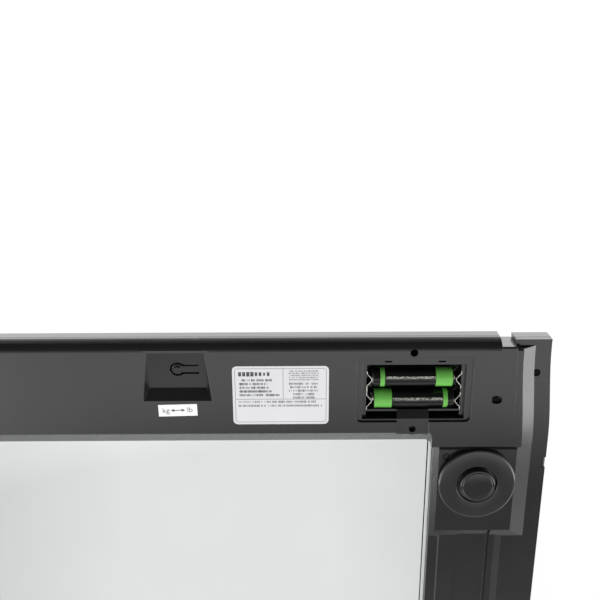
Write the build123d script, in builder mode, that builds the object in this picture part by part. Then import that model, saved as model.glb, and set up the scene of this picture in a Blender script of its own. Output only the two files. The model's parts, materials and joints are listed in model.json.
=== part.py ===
from build123d import *
import os

# A bathroom scale: a glass platform in a frame of two side rails and two cross bars, on four feet.
# Millimetres. X runs across the scale, +Y points to the display end, Z is up from the floor.
# "Front" is the display end, "left" is -X. Setbacks are measured inwards from the front or rear end.

# Overall sizes
scale_width = 381.2
scale_depth = 312.0
platform_height = 19.4
glass_thickness = 6.0
wall = 2.0
seam = 0.3

# Levels of the underside, measured up from the floor
pad_level = 0.0
disc_level = 2.0
bar_level = 4.0
box_level = 5.5
rim_level = 9.0
parting_level = 12.4
cable_level = 11.6

# Side rails
rail_width = 63.2
rail_setback = 1.0
end_narrowing = 3.2
end_straight = 4.0
taper_setback = 59.0
base_inset = 0.08
corner_setback_low = 5.4
corner_setback_high = 4.4
corner_slope_low = 15.9
corner_slope_high = 8.6
rim_screw_edge = 10.0
rim_screw_setback = 20.2

# Cross bars
bar_slope_run = 8.9
ear_round = 2.5
bar_edge_setback = 0.06
bar_edge_run = 5.5
bar_edge_rise = 7.05
root_radius = 0.2
bar_end_front = 22.6
bar_end_rear = 20.4
bar_step_length = 8.0
bar_step_setback = 3.5
glass_overlap = 7.3
glass_lip = 0.5
glass_gap = 0.4
glass_bevel = 0.95
ear_inset = 1.7
ledge_width = 6.9
bar_screw_edge = 76.6
bar_screw_setback = 6.4
link_screw_edge = 31.5
link_screw_setback = 33.7
link_slot_length = 6.0
link_slot_width = 4.6

# Glass seal beads
bead_width = 0.85

# Foot boxes, feet and load cells
box_side_run = 2.9
box_width = 42.8
box_length = 53.8
box_outer_run = 8.7
box_inner_run = 2.7
box_end_run = 6.0
box_edge_run = 2.2
box_edge_drop = 1.5
foot_setback = 22.1
foot_hole_radius = 11.0
disc_radius = 21.3
disc_thickness = 2.7
disc_recess_radius = 10.9
disc_recess_depth = 1.9
disc_round = 0.8
disc_recess_round = 0.5
pad_round = 0.9
pad_radius = 9.6
stem_radius = 5.0
pin_radius = 1.7
pin_length = 3.0
cell_plate = 29.0
cell_plate_thickness = 2.0
cell_slot = 2.4
cell_tongue = 12.0
pin_clearance = 0.4
contact_gap = 0.05
retainer_thickness = 2.8
retainer_slot = 16.0
retainer_screw_inset = 4.3
retainer_screw_setback = 6.6
retainer_peg_setback = 49.4
gauge_offset = 4.0
gauge_length = 6.0
gauge_height = 2.7
gauge_inset = 1.0
gauge_round = 0.8
cable_radius = 0.65
cable_bend = 4.5

# Snap hook on the outer edge of each rail
hook_setback = 74.5
hook_length = 5.7
hook_depth = 2.2

# Wiring ridge under each rail, measured from the rail's inner edge
ridge_start = 5.6
ridge_step = 17.8
ridge_groove = 33.2
groove_width = 1.6
ridge_end = 42.3
ridge_drop = 0.7

# Battery bay in the front bar, on the left
bay_edge = 75.6
bay_setback = 13.7
bay_end = 5.25
bay_width = 31.6
bay_wall = 1.4
bay_boss = 1.2
seat_side = 3.3
seat_front = 4.6
seat_rear = 1.4
seat_depth = 1.4
seat_corner = 3.0
hook_slot_width = 4.0
hook_slot_pitch = 28.2
latch_width = 17.2
latch_reach = 7.7
latch_screw_inset = 1.5
latch_screw_radius = 2.0
battery_length = 44.5
battery_diameter = 10.5
battery_pitch = 12.45
battery_setback = 23.0
battery_level = 11.2
battery_gap = 0.15
tip_gap = 0.1
cheek_drop = 0.6
sleeve_round = 0.6
end_cap_radius = 4.2
nub_length = 1.2
nub_radius = 1.9
end_cap = 0.3
contact_thickness = 0.4
contact_height = 8.8
contact_bump = 5.0
contact_flat = 1.5
contact_tip = 0.6
contact_tab = 1.6

# Unit switch recess in the front bar, right of the middle
recess_x = 10.8
recess_setback = 6.1
recess_front_width = 30.1
recess_rear_width = 36.5
recess_length = 27.3
recess_floor_length = 21.5
recess_depth = 4.5
recess_taper = 28.0
recess_wall = 1.6
tongue_floor = 1.2
button_x = 10.3
button_setback = 15.9
button_radius = 3.1
button_slot = 1.05
boss_rise = 1.1
boss_low_radius = 1.95
boss_high_radius = 3.05
tongue_width = 3.8
tongue_length = 11.2
root_bead = 0.2
root_gap = 0.04
post_radius = 1.4

# Electronics in the front bar
board_margin = 10.0
board_depth = 37.0
board_setback = 11.0
board_level = 12.6
board_thickness = 1.2
window_width = 72.0
window_depth = 30.0
window_setback = 29.5
window_thickness = 1.2
window_ledge = 3.0
panel_thickness = 1.8
strip_width = 2.2
holder_rim = 4.0
switch_body = 6.0
switch_height = 2.7
plunger_length = 0.8
plunger_radius = 1.7
plunger_depth = 0.8
plunger_gap = 0.1
plunger_stop = 0.7
press_gap = 0.3
board_post_radius = 3.0
lead_radius = 0.6
lead_bend = 2.2
lead_pitch = 3.6
lead_gap = 0.65
lead_inset = 4.1
lead_socket_setback = 21.0
cable_inset = 2.0
cable_pitch = 4.0
cable_spread = 2.6
socket_x = 26.0
socket_setback = 44.0
socket_width = 10.0
socket_depth = 4.5
socket_height = 2.2
chip_inset = 22.0
chip_setback = 26.0
chip_radius = 6.5
chip_height = 1.4
small_part_inset = 5.0
small_part_pitch = 5.0
small_part_length = 2.6
small_part_width = 1.4
small_part_height = 0.9
small_part_setback = 36.0
crystal_inset = 10.0
crystal_setback = 29.5
crystal_length = 6.0
crystal_width = 2.2

# Labels
rating_x = -44.0
rating_setback = 30.4
rating_width = 51.0
rating_height = 33.8
rating_corner = 2.5
unit_label_x = 11.0
unit_label_setback = 38.8
unit_label_width = 20.7
unit_label_height = 6.8
label_thickness = 0.15
label_turn = 1.3

# Screws
screw_radius = 1.2
screw_length = 4.6
short_screw_length = 3.4
head_radius = 1.9
head_height = 1.4
head_clearance = 0.2
boss_radius = 3.4
cross_length = 2.2
cross_width = 0.7
cross_depth = 0.7

# Lines that several pieces share
half_width = scale_width / 2
half_depth = scale_depth / 2
corner_half = half_width - end_narrowing
rail_inner = half_width - rail_width
bar_face_reach = bay_setback + bay_width + latch_reach
bar_reach = bar_face_reach + bar_slope_run
rail_start = bar_reach + seam
glass_setback = bar_reach - glass_overlap
glass_edge = rail_inner - bead_width
ear_edge = rail_inner - ear_inset
bar_step_half = half_width - bar_end_front - bar_step_length
glass_level = platform_height - glass_thickness
roof_level = platform_height - wall
bar_floor = bar_level + wall
box_floor = box_level + wall
box_inner = rail_inner + box_side_run
box_outer = box_inner + box_width
box_rear = rail_start + box_length
foot_x = (box_inner + box_outer) / 2
foot_y = half_depth - rail_start - foot_setback
rim_screw_x = half_width - rim_screw_edge
bar_screw_x = half_width - bar_screw_edge
link_screw_x = half_width - link_screw_edge
bay_x = bay_edge - half_width
bay_length = battery_length + 2 * bay_end
board_top = board_level + board_thickness
board_width = window_width + 2 * board_margin
window_y = half_depth - window_setback
sides = {"right": 1, "left": -1}
ends = {"front": 1, "rear": -1}


def inward(setback):
    """Y of the line that lies this far in from the front end."""
    return half_depth - setback


def bar_end(setback):
    """X of the bar's slanted end at a setback."""
    share = (setback - bar_step_setback) / (bar_reach - bar_step_setback)
    return half_width - bar_end_front + (bar_end_front - bar_end_rear) * share


def block(x0, x1, y0, y1, z0, z1, mode=Mode.ADD):
    """A box between two corners."""
    with Locations(((x0 + x1) / 2, (y0 + y1) / 2, (z0 + z1) / 2)):
        Box(abs(x1 - x0), abs(y1 - y0), abs(z1 - z0), mode=mode)


def post(x, y, z0, z1, radius, mode=Mode.ADD):
    """An upright cylinder."""
    with Locations((x, y, (z0 + z1) / 2)):
        Cylinder(radius, z1 - z0, mode=mode)


def plan(points, z):
    """A flat outline through plan points, at one height."""
    with BuildSketch(Plane.XY.offset(z)) as outline:
        with BuildLine():
            Polyline(points, close=True)
        make_face()
    return outline.sketch


def section_x(points, x):
    """A cross-section through (y, z) points, on the plane at one x."""
    with BuildSketch(Plane.YZ.offset(x)) as outline:
        with BuildLine():
            Polyline(points, close=True)
        make_face()
    return outline.sketch


def section_y(points, y):
    """A cross-section through (x, z) points, on the plane at one y, facing the rear."""
    with BuildSketch(Plane.XZ.offset(-y)) as outline:
        with BuildLine():
            Polyline(points, close=True)
        make_face()
    return outline.sketch


def keep(shape, name):
    """Label a finished piece and write it to its own file."""
    shape.label = name
    export_step(shape, f"parts/{name}.step")


def keep_pair(shape, name):
    """Write a right-hand piece and its mirror image on the left."""
    keep(shape, f"{name}_right")
    keep(mirror(shape, about=Plane.YZ), f"{name}_left")


os.makedirs("parts", exist_ok=True)


# Glass platform and its seal beads
with BuildPart() as glass:
    block(-glass_edge, glass_edge, -inward(glass_setback), inward(glass_setback),
          glass_level, platform_height)
    chamfer(glass.edges(), glass_bevel)
keep(glass.part, "glass_platform")

with BuildPart() as bead:
    block(glass_edge, rail_inner, -inward(glass_setback), inward(glass_setback),
          glass_level, platform_height - glass_gap)
keep_pair(bead.part, "glass_seal")


# Side rails
def rail_plan(inset, z):
    """Front half of the right rail in plan, drawn in by an inset."""
    front = inward(rail_setback) - inset
    outer = corner_half - inset
    with BuildSketch(Plane.XY.offset(z)) as outline:
        with BuildLine():
            Polyline((outer, inward(end_straight)), (outer, front),
                     (bar_end(rail_setback) + seam + inset, front),
                     (bar_end(rail_start) + seam + inset, inward(rail_start) - inset),
                     (rail_inner + inset, inward(rail_start) - inset), (rail_inner + inset, 0),
                     (half_width - inset, 0), (half_width - inset, inward(taper_setback)))
            Spline((outer, inward(end_straight)), (half_width - inset, inward(taper_setback)),
                   tangents=((0, -1), (0, -1)))
        make_face()
    return outline.sketch


def corner_plan(z, slope, setback):
    """The raised strip beside the bar's end, at one height."""
    with BuildSketch(Plane.XY.offset(z)) as outline:
        with BuildLine():
            Polyline((corner_half - slope, inward(setback)), (bar_end(setback) + seam, inward(setback)),
                     (bar_end(rail_start) + seam, inward(rail_start)),
                     (half_width - slope, inward(rail_start)))
            Spline((corner_half - slope, inward(setback)), (half_width - slope, inward(rail_start)),
                   tangents=((0, -1), (0, -1)))
        make_face()
    return outline.sketch


def box_plan(z, inner_run, outer_run, end_run):
    """The foot box in plan, at one height."""
    return plan([(box_inner - inner_run, inward(rail_start)), (box_outer + outer_run, inward(rail_start)),
                 (box_outer + outer_run, inward(box_rear + end_run)),
                 (box_inner - inner_run, inward(box_rear + end_run))], z)


strip_level = rim_level - (rim_level - box_level) * (corner_slope_low - corner_slope_high) / box_outer_run
box_edge = [(inward(rail_start), box_level), (inward(rail_start + box_edge_run), box_level),
            (inward(rail_start), box_level + box_edge_drop)]
ridge_low = rim_level - ridge_drop
ridge_near = [(rail_inner + ridge_start, rim_level + ridge_drop), (rail_inner + ridge_start, rim_level),
              (rail_inner + ridge_start + ridge_drop, ridge_low),
              (rail_inner + ridge_step - 4 * ridge_drop, ridge_low),
              (rail_inner + ridge_step, ridge_low - ridge_drop),
              (rail_inner + ridge_groove, ridge_low - ridge_drop),
              (rail_inner + ridge_groove, rim_level + ridge_drop)]
ridge_far = [(rail_inner + ridge_groove + groove_width, rim_level + ridge_drop),
             (rail_inner + ridge_groove + groove_width, ridge_low),
             (rail_inner + ridge_end - 6 * ridge_drop, ridge_low), (rail_inner + ridge_end, rim_level),
             (rail_inner + ridge_end, rim_level + ridge_drop)]
hook_front = inward(hook_setback - hook_length / 2)
hook_rear = inward(hook_setback + hook_length / 2)
retainer_screw = (box_inner + retainer_screw_inset, inward(rail_start + retainer_screw_setback))
retainer_peg = (box_inner + retainer_screw_inset, inward(rail_start + retainer_peg_setback))
rim_screw_y = inward(rim_screw_setback)
link_screw_y = inward(link_screw_setback)
link_floor = bar_floor + head_clearance
link_top = link_floor + wall
cable_gate_low = cable_level - 2 * cable_radius
cable_gate_front = inward(bar_reach - 1.5 * wall)
cable_gate_rear = inward(rail_start + 1.5 * wall)

with BuildPart() as rail_base:
    extrude(rail_plan(base_inset, rim_level), amount=parting_level - rim_level)
    extrude(corner_plan(bar_level, corner_slope_low, corner_setback_low), amount=strip_level - bar_level)
    loft([corner_plan(strip_level, corner_slope_low, corner_setback_low),
          corner_plan(rim_level, corner_slope_high, corner_setback_high)], ruled=True)
    loft([box_plan(box_level, 0, 0, 0), box_plan(rim_level, box_inner_run, box_outer_run, box_end_run)],
         ruled=True)
    extrude(section_x(box_edge, box_inner), amount=box_width, mode=Mode.SUBTRACT)
    extrude(section_y(ridge_near, inward(box_rear)), amount=inward(box_rear))
    extrude(section_y(ridge_far, inward(box_rear)), amount=inward(box_rear))
    block(rail_inner + ridge_groove, rail_inner + ridge_groove + groove_width, 0, inward(box_rear),
          box_level, rim_level, mode=Mode.SUBTRACT)
    # Hollow behind the rim, in the foot box and in the raised corner
    extrude(rail_plan(wall, rim_level + wall - base_inset), amount=parting_level, mode=Mode.SUBTRACT)
    block(box_inner + bay_wall, box_outer - bay_wall, inward(box_rear - wall), inward(rail_start + wall),
          box_floor, parting_level, mode=Mode.SUBTRACT)
    post(foot_x, foot_y, box_level, box_floor, foot_hole_radius, mode=Mode.SUBTRACT)
    # Boss for the rim screw, and the tongue that reaches into the bar
    post(rim_screw_x, rim_screw_y, rim_level, parting_level, boss_radius)
    post(rim_screw_x, rim_screw_y, rim_level, parting_level, screw_radius, mode=Mode.SUBTRACT)
    post(rim_screw_x, rim_screw_y, rim_level, rim_level + head_height + head_clearance,
         head_radius + head_clearance, mode=Mode.SUBTRACT)
    block(link_screw_x - 2 * boss_radius, bar_end(link_screw_setback) + wall,
          link_screw_y - 3 * boss_radius, link_screw_y + 3 * boss_radius, link_floor, link_top)
    post(link_screw_x, link_screw_y, link_floor, parting_level - wall, boss_radius)
    post(link_screw_x, link_screw_y, link_floor, parting_level, screw_radius, mode=Mode.SUBTRACT)
    post(*retainer_screw, box_level, box_floor, screw_radius, mode=Mode.SUBTRACT)
    post(*retainer_screw, box_level, box_level + head_height + head_clearance,
         head_radius + head_clearance, mode=Mode.SUBTRACT)
    # Window for the snap hook, and the gate for the cables
    block(half_width - hook_depth - seam, half_width, hook_rear - seam, hook_front + seam,
          rim_level, parting_level, mode=Mode.SUBTRACT)
    block(foot_x - retainer_slot / 2, foot_x + retainer_slot / 2, inward(rail_start), cable_gate_rear,
          cable_gate_low, parting_level, mode=Mode.SUBTRACT)
    mirror(about=Plane.XZ)
keep_pair(rail_base.part, "rail_base")

hook_outer = half_width - base_inset
hook_section = [(half_width - hook_depth, parting_level + wall),
                (half_width - hook_depth, rim_level + seam),
                (half_width - hook_depth / 2, rim_level + seam), (hook_outer, parting_level - wall),
                (hook_outer, parting_level + wall)]
with BuildPart() as rail_cover:
    extrude(rail_plan(0, parting_level), amount=platform_height - parting_level)
    extrude(rail_plan(wall, parting_level), amount=roof_level - parting_level, mode=Mode.SUBTRACT)
    post(rim_screw_x, rim_screw_y, parting_level, roof_level, boss_radius)
    post(rim_screw_x, rim_screw_y, parting_level, roof_level - wall, screw_radius, mode=Mode.SUBTRACT)
    extrude(section_y(hook_section, hook_front), amount=hook_length)
    top_edges = rail_cover.edges().group_by(Axis.Z)[-1]
    fillet([edge for edge in top_edges if edge.center().X > corner_half - end_narrowing], wall / 2)
    mirror(about=Plane.XZ)
keep_pair(rail_cover.part, "rail_cover")


# Cross bars. The blank of each is drawn for the front, right half, and mirrored.
slope_top = glass_level - glass_lip
slope_lean = bar_slope_run / (slope_top - bar_level)
slope_wall = wall * (1 + slope_lean ** 2) ** 0.5
slope_inner = bar_face_reach - slope_wall + wall * slope_lean
ledge_low = glass_level - wall
slope_points = [(inward(bar_face_reach), bar_level), (inward(bar_reach), slope_top),
                (inward(bar_reach), glass_level), (inward(bar_reach - ledge_width), glass_level),
                (inward(bar_reach - ledge_width), ledge_low),
                (inward(slope_inner + (ledge_low - bar_floor) * slope_lean), ledge_low),
                (inward(slope_inner), bar_floor), (inward(slope_inner), bar_level)]
ear_start = bar_face_reach - wall
hollow_start = bar_face_reach - 4 * wall


def edge_section(setback, run, rise, x):
    """The bar's floor and end wall, with a rounded corner, as a section at one x."""
    inner_run = max(run - wall, root_radius)
    inner_rise = max(rise - wall, root_radius)
    inner = setback + wall
    with BuildSketch(Plane.YZ.offset(x)) as outline:
        with BuildLine():
            EllipticalCenterArc((inward(setback + run), bar_level + rise), run, rise, 270, arc_size=90)
            Polyline((inward(setback), bar_level + rise), (inward(setback), parting_level),
                     (inward(inner), parting_level), (inward(inner), bar_floor + inner_rise))
            EllipticalCenterArc((inward(inner + inner_run), bar_floor + inner_rise), inner_run, inner_rise,
                                270, arc_size=90)
            Polyline((inward(inner + inner_run), bar_floor), (inward(slope_inner), bar_floor),
                     (inward(slope_inner), bar_level), (inward(setback + run), bar_level))
        make_face()
    return outline.sketch


def bar_base_blank():
    """Lower half of a cross bar, without the display end's features."""
    with BuildPart() as blank:
        extrude(edge_section(bar_edge_setback, bar_edge_run, bar_edge_rise, 0), amount=bar_step_half)
        extrude(edge_section(bar_step_setback, wall / 2, wall / 2, bar_step_half),
                amount=half_width - bar_step_half)
        extrude(section_x(slope_points, 0), amount=rail_inner)
        # Ears that reach past the glass to the foot boxes
        block(ear_edge, half_width, inward(bar_reach), inward(ear_start), bar_level, parting_level)
        ear_corner = (ear_edge, inward(bar_face_reach - ear_round), bar_level - ear_round / slope_lean)
        with BuildSketch(Plane(ear_corner, x_dir=(-1, 0, 0), z_dir=(0, -slope_lean, 1))):
            with Locations((ear_round / 2, ear_round / 2)):
                Rectangle(ear_round, ear_round)
            with Locations((ear_round, ear_round)):
                Circle(ear_round, mode=Mode.SUBTRACT)
        extrude(amount=2 * bar_slope_run)
        block(rail_inner - 4 * ear_round, half_width, inward(bar_reach + 2 * bar_slope_run),
              inward(bar_reach), bar_level, 2 * platform_height, mode=Mode.SUBTRACT)
        block(rail_inner - 4 * ear_round, half_width, inward(bar_reach + 2 * bar_slope_run), inward(0),
              pad_level - platform_height, bar_level, mode=Mode.SUBTRACT)
        block(ear_edge + wall, half_width, inward(bar_reach - wall), inward(hollow_start),
              bar_floor, parting_level, mode=Mode.SUBTRACT)
        block(ear_edge - 3 * wall, ear_edge + 2 * wall, inward(bar_face_reach + wall),
              inward(hollow_start), cable_gate_low, glass_level, mode=Mode.SUBTRACT)
        block(foot_x - retainer_slot / 2, foot_x + retainer_slot / 2, inward(bar_reach), cable_gate_front,
              cable_gate_low, parting_level, mode=Mode.SUBTRACT)
        # Slanted end
        extrude(plan([(bar_end(0), inward(-wall)), (half_width + wall, inward(-wall)),
                      (half_width + wall, inward(bar_reach + wall)),
                      (bar_end(bar_reach), inward(bar_reach))], bar_level),
                amount=platform_height, mode=Mode.SUBTRACT)
        # Screw bosses
        post(bar_screw_x, inward(bar_screw_setback), bar_floor, parting_level, boss_radius)
        post(bar_screw_x, inward(bar_screw_setback), bar_level, parting_level, screw_radius,
             mode=Mode.SUBTRACT)
        post(bar_screw_x, inward(bar_screw_setback), bar_level, parting_level - wall,
             head_radius + head_clearance, mode=Mode.SUBTRACT)
        with BuildSketch(Plane.XY.offset(bar_level)):
            with Locations((link_screw_x, link_screw_y)):
                SlotOverall(link_slot_length, link_slot_width)
        extrude(amount=wall, mode=Mode.SUBTRACT)
        mirror(about=Plane.YZ)
    return blank.part


def bar_cover_plan(inset, z):
    """The whole bar cover in plan, drawn in by an inset."""
    cover_reach = glass_setback - glass_gap
    right = [(bar_step_half - inset, inward(inset)),
             (bar_step_half - inset, inward(bar_step_setback + inset)),
             (bar_end(bar_step_setback) - inset, inward(bar_step_setback + inset)),
             (bar_end(bar_reach) - inset, inward(bar_reach - inset)),
             (rail_inner + inset, inward(bar_reach - inset)),
             (rail_inner + inset, inward(cover_reach - inset))]
    left = [(-x, y) for x, y in reversed(right)]
    return plan(right + left, z)


def bar_cover_blank():
    """Upper half of a cross bar, without the display window."""
    with BuildPart() as blank:
        extrude(bar_cover_plan(0, parting_level), amount=platform_height - parting_level)
        extrude(bar_cover_plan(wall, parting_level), amount=roof_level - parting_level, mode=Mode.SUBTRACT)
        for side in sides.values():
            post(side * bar_screw_x, inward(bar_screw_setback), parting_level, roof_level, boss_radius)
            post(side * bar_screw_x, inward(bar_screw_setback), parting_level, roof_level - wall,
                 screw_radius, mode=Mode.SUBTRACT)
        top_edges = blank.edges().group_by(Axis.Z)[-1]
        fillet(top_edges.sort_by(Axis.Y)[-1], wall / 2)
    return blank.part


keep(mirror(bar_base_blank(), about=Plane.XZ), "bar_base_rear")
keep(mirror(bar_cover_blank(), about=Plane.XZ), "bar_cover_rear")

# Front bar base: battery bay and unit switch recess
bay_front = inward(bay_setback)
bay_rear = inward(bay_setback + bay_width)
bay_low = bay_x - bay_length / 2
bay_high = bay_x + bay_length / 2
seat_level = bar_level + seat_depth
bay_shelf = seat_level + wall
battery_y = [inward(battery_setback), inward(battery_setback + battery_pitch)]
tab_y = [battery_y[0] + contact_bump - contact_flat / 2, battery_y[1] - contact_bump + contact_flat / 2]
bay_roof = battery_level + battery_diameter / 2 + battery_gap
partition_y = battery_y[1] - battery_diameter / 2 - head_clearance
battery_low = bay_x - battery_length / 2
battery_high = bay_x + battery_length / 2
contact_reach = contact_bump / 2
contact_low = battery_low - contact_reach - tip_gap
contact_high = battery_high + contact_reach + tip_gap
contact_bottom = battery_level - contact_height / 2
cheek_level = bay_shelf + cheek_drop
tongue_root = button_x - tongue_length
recess_slope = recess_depth / recess_floor_length
recess_front = inward(recess_setback)
latch_rear = bay_rear - seat_rear
latch_screw_y = inward(bar_face_reach - latch_screw_inset)


def recess_floor(y):
    """Height of the recess floor's underside at one Y."""
    return bar_level + (recess_front - y) * recess_slope


def recess_solid(grow):
    """The wedge under the unit switch, grown by a wall."""
    rear = recess_front - recess_length
    floor_rear = recess_front - recess_floor_length
    wedge = section_x([(recess_front + grow / recess_slope, bar_level), (floor_rear - grow / 3,
                       recess_floor(floor_rear) + grow), (rear - 1.5 * grow, bar_level)],
                      recess_x - recess_rear_width)
    rim = plan([(recess_x - recess_rear_width / 2 - grow, rear - grow),
                (recess_x + recess_rear_width / 2 + grow, rear - grow),
                (recess_x + recess_front_width / 2 + grow, recess_front + grow),
                (recess_x - recess_front_width / 2 - grow, recess_front + grow)], bar_level)
    with BuildPart() as solid:
        extrude(rim, amount=recess_depth + grow, taper=recess_taper)
        extrude(wedge, amount=2 * recess_rear_width, mode=Mode.INTERSECT)
    return solid.part


def key_plan(gap, z):
    """Keyhole outline of the button and its tongue, grown by a gap."""
    with BuildSketch(Plane.XY.offset(z)) as outline:
        with Locations((button_x, inward(button_setback))):
            Circle(button_radius + gap)
        with Locations(((button_x + tongue_root) / 2, inward(button_setback))):
            Rectangle(tongue_length, tongue_width + 2 * gap)
    return outline.sketch


with BuildPart() as bar_base_front:
    add(bar_base_blank())
    # Thicker floor round the battery bay, then its seat, opening and box
    block(bay_low - seat_side - wall, bay_high + seat_side + wall, bay_rear - seat_rear - wall,
          bay_front + seat_front, bar_floor, bay_shelf)
    block(bay_low - bay_wall, bay_high + bay_wall, bay_rear - bay_wall, bay_front + bay_wall,
          bay_shelf, roof_level)
    with BuildSketch(Plane.XY.offset(bar_level)):
        with Locations((bay_x, (bay_front + seat_front + bay_rear - seat_rear) / 2)):
            RectangleRounded(bay_length + 2 * seat_side, bay_width + seat_front + seat_rear, seat_corner)
    extrude(amount=seat_depth, mode=Mode.SUBTRACT)
    block(bay_low, bay_high, bay_rear, bay_front, seat_level, bay_roof, mode=Mode.SUBTRACT)
    # Cheeks behind the contacts, partition behind the cells, sloped latch bridge and latch recess
    block(bay_low, contact_low - contact_thickness, bay_rear, bay_front, cheek_level, bay_roof)
    block(contact_high + contact_thickness, bay_high, bay_rear, bay_front, cheek_level, bay_roof)
    block(bay_low, bay_high, partition_y - bay_boss, partition_y, cheek_level + seam, bay_roof)
    extrude(section_x([(partition_y, cheek_level + bay_boss), (partition_y, cheek_level),
                       (bay_rear, seat_level), (latch_rear, seat_level), (latch_rear, bay_shelf),
                       (bay_rear, bay_shelf)], bay_x), amount=latch_width / 2, both=True)
    block(bay_x - latch_width / 2, bay_x + latch_width / 2, inward(bar_reach), latch_rear + seat_rear,
          bar_level, seat_level, mode=Mode.SUBTRACT)
    for hook_x in (bay_x - hook_slot_pitch / 2, bay_x + hook_slot_pitch / 2):
        block(hook_x - hook_slot_width / 2, hook_x + hook_slot_width / 2, bay_front + bay_wall,
              bay_front + bay_wall + groove_width / 2, seat_level, bay_shelf, mode=Mode.SUBTRACT)
    post(bay_x, latch_screw_y, seat_level, bay_shelf + wall, latch_screw_radius + bay_wall)
    post(bay_x, latch_screw_y, seat_level, bay_shelf + bay_boss, latch_screw_radius, mode=Mode.SUBTRACT)
    for slot_y in tab_y:
        block(bay_low - bay_wall, contact_low, slot_y - contact_tab, slot_y + contact_tab,
              cable_level - contact_tab / 2, cable_level + contact_tab / 2, mode=Mode.SUBTRACT)
    # Wedge-shaped recess with the slot that frees the button and its tongue
    add(recess_solid(recess_wall))
    add(recess_solid(0), mode=Mode.SUBTRACT)
    extrude(key_plan(button_slot, bar_level), amount=recess_depth + 2 * wall, mode=Mode.SUBTRACT)
keep(bar_base_front.part, "bar_base_front")

# Front bar cover: stepped opening for the display window, and posts for the board
board_rear = inward(board_setback + board_depth)
board_front = inward(board_setback)
board_posts = [(side * (board_width / 2 - board_post_radius), y) for side in sides.values()
               for y in (board_front - board_post_radius, board_rear + board_post_radius)]
window_low = platform_height - window_thickness
with BuildPart() as bar_cover_front:
    add(bar_cover_blank())
    block(-window_width / 2, window_width / 2, window_y - window_depth / 2, window_y + window_depth / 2,
          window_low, platform_height, mode=Mode.SUBTRACT)
    block(window_ledge - window_width / 2, window_width / 2 - window_ledge,
          window_y - window_depth / 2 + window_ledge, window_y + window_depth / 2 - window_ledge,
          roof_level, platform_height, mode=Mode.SUBTRACT)
    for post_x, post_y in board_posts:
        post(post_x, post_y, board_top, roof_level, board_post_radius)
        post(post_x, post_y, board_top, roof_level - wall / 2, screw_radius, mode=Mode.SUBTRACT)
keep(bar_cover_front.part, "bar_cover_front")

# Display
with BuildPart() as window:
    block(head_clearance - window_width / 2, window_width / 2 - head_clearance,
          window_y - window_depth / 2 + head_clearance, window_y + window_depth / 2 - head_clearance,
          window_low, platform_height)
keep(window.part, "display_window")

panel_low = roof_level - head_clearance - panel_thickness
with BuildPart() as panel:
    block(window_ledge / 2 - window_width / 2, window_width / 2 - window_ledge / 2,
          window_y - window_depth / 2, window_y + window_depth / 2, panel_low, panel_low + panel_thickness)
keep(panel.part, "lcd_panel")

with BuildPart() as holder:
    block(-window_width / 2 - holder_rim / 2, window_width / 2 + holder_rim / 2,
          window_y - window_depth / 2 - holder_rim / 2, window_y + window_depth / 2 + holder_rim / 2,
          board_top, roof_level)
    block(window_ledge / 2 - window_width / 2 - head_clearance,
          window_width / 2 - window_ledge / 2 + head_clearance,
          window_y - window_depth / 2 - head_clearance, window_y + window_depth / 2 + head_clearance,
          board_top, roof_level, mode=Mode.SUBTRACT)
keep(holder.part, "lcd_holder")

with BuildPart() as strips:
    for side in sides.values():
        strip_y = window_y + side * (window_depth / 2 - strip_width)
        block(window_ledge - window_width / 2, window_width / 2 - window_ledge, strip_y - strip_width / 2,
              strip_y + strip_width / 2, board_top, panel_low)
keep(strips.part, "lcd_contact_strips")

# Circuit board with its parts
with BuildPart() as board:
    block(-board_width / 2, board_width / 2, board_rear, board_front, board_level, board_top)
    for post_x, post_y in board_posts:
        post(post_x, post_y, board_level, board_top, screw_radius + head_clearance, mode=Mode.SUBTRACT)
keep(board.part, "main_board")

socket_rear = inward(socket_setback)
board_left = -board_width / 2
chip_x = board_left + chip_inset
chip_y = inward(chip_setback)
with BuildPart() as chip:
    post(chip_x, chip_y, board_level - chip_height, board_level, chip_radius)
    fillet(chip.edges().group_by(Axis.Z)[0], chip_height * 0.7)
keep(chip.part, "board_chip")

small_part_y = inward(small_part_setback)
crystal_x = board_left + crystal_inset
crystal_y = inward(crystal_setback)
with BuildPart() as small_parts:
    for step in range(5):
        part_x = board_left + small_part_inset + step * small_part_pitch
        block(part_x, part_x + small_part_length, small_part_y, small_part_y + small_part_width,
              board_level - small_part_height, board_level)
    block(crystal_x - crystal_length / 2, crystal_x + crystal_length / 2, crystal_y - crystal_width / 2,
          crystal_y + crystal_width / 2, board_level - socket_height, board_level)
keep(small_parts.part, "board_small_parts")

lead_socket_y = inward(lead_socket_setback)
with BuildPart() as sockets:
    for side in sides.values():
        block(side * socket_x - socket_width / 2, side * socket_x + socket_width / 2, socket_rear,
              socket_rear + socket_depth, board_level - socket_height, board_level)
    block(board_left, board_left + socket_depth, lead_socket_y - lead_pitch, lead_socket_y + lead_pitch,
          board_level - socket_height, board_level)
keep(sockets.part, "board_sockets")

button_y = inward(button_setback)
with BuildPart() as switch_case:
    block(button_x - switch_body / 2, button_x + switch_body / 2, button_y - switch_body / 2,
          button_y + switch_body / 2, board_level - switch_height, board_level)
    post(button_x, button_y, board_level - switch_height,
         board_level - switch_height + plunger_depth + plunger_stop, plunger_radius + plunger_gap,
         mode=Mode.SUBTRACT)
keep(switch_case.part, "unit_switch_case")

plunger_low = board_level - switch_height - plunger_length
with BuildPart() as plunger:
    post(button_x, button_y, plunger_low, plunger_low + plunger_length + plunger_depth, plunger_radius)
keep(plunger.part, "unit_switch_plunger")

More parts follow.
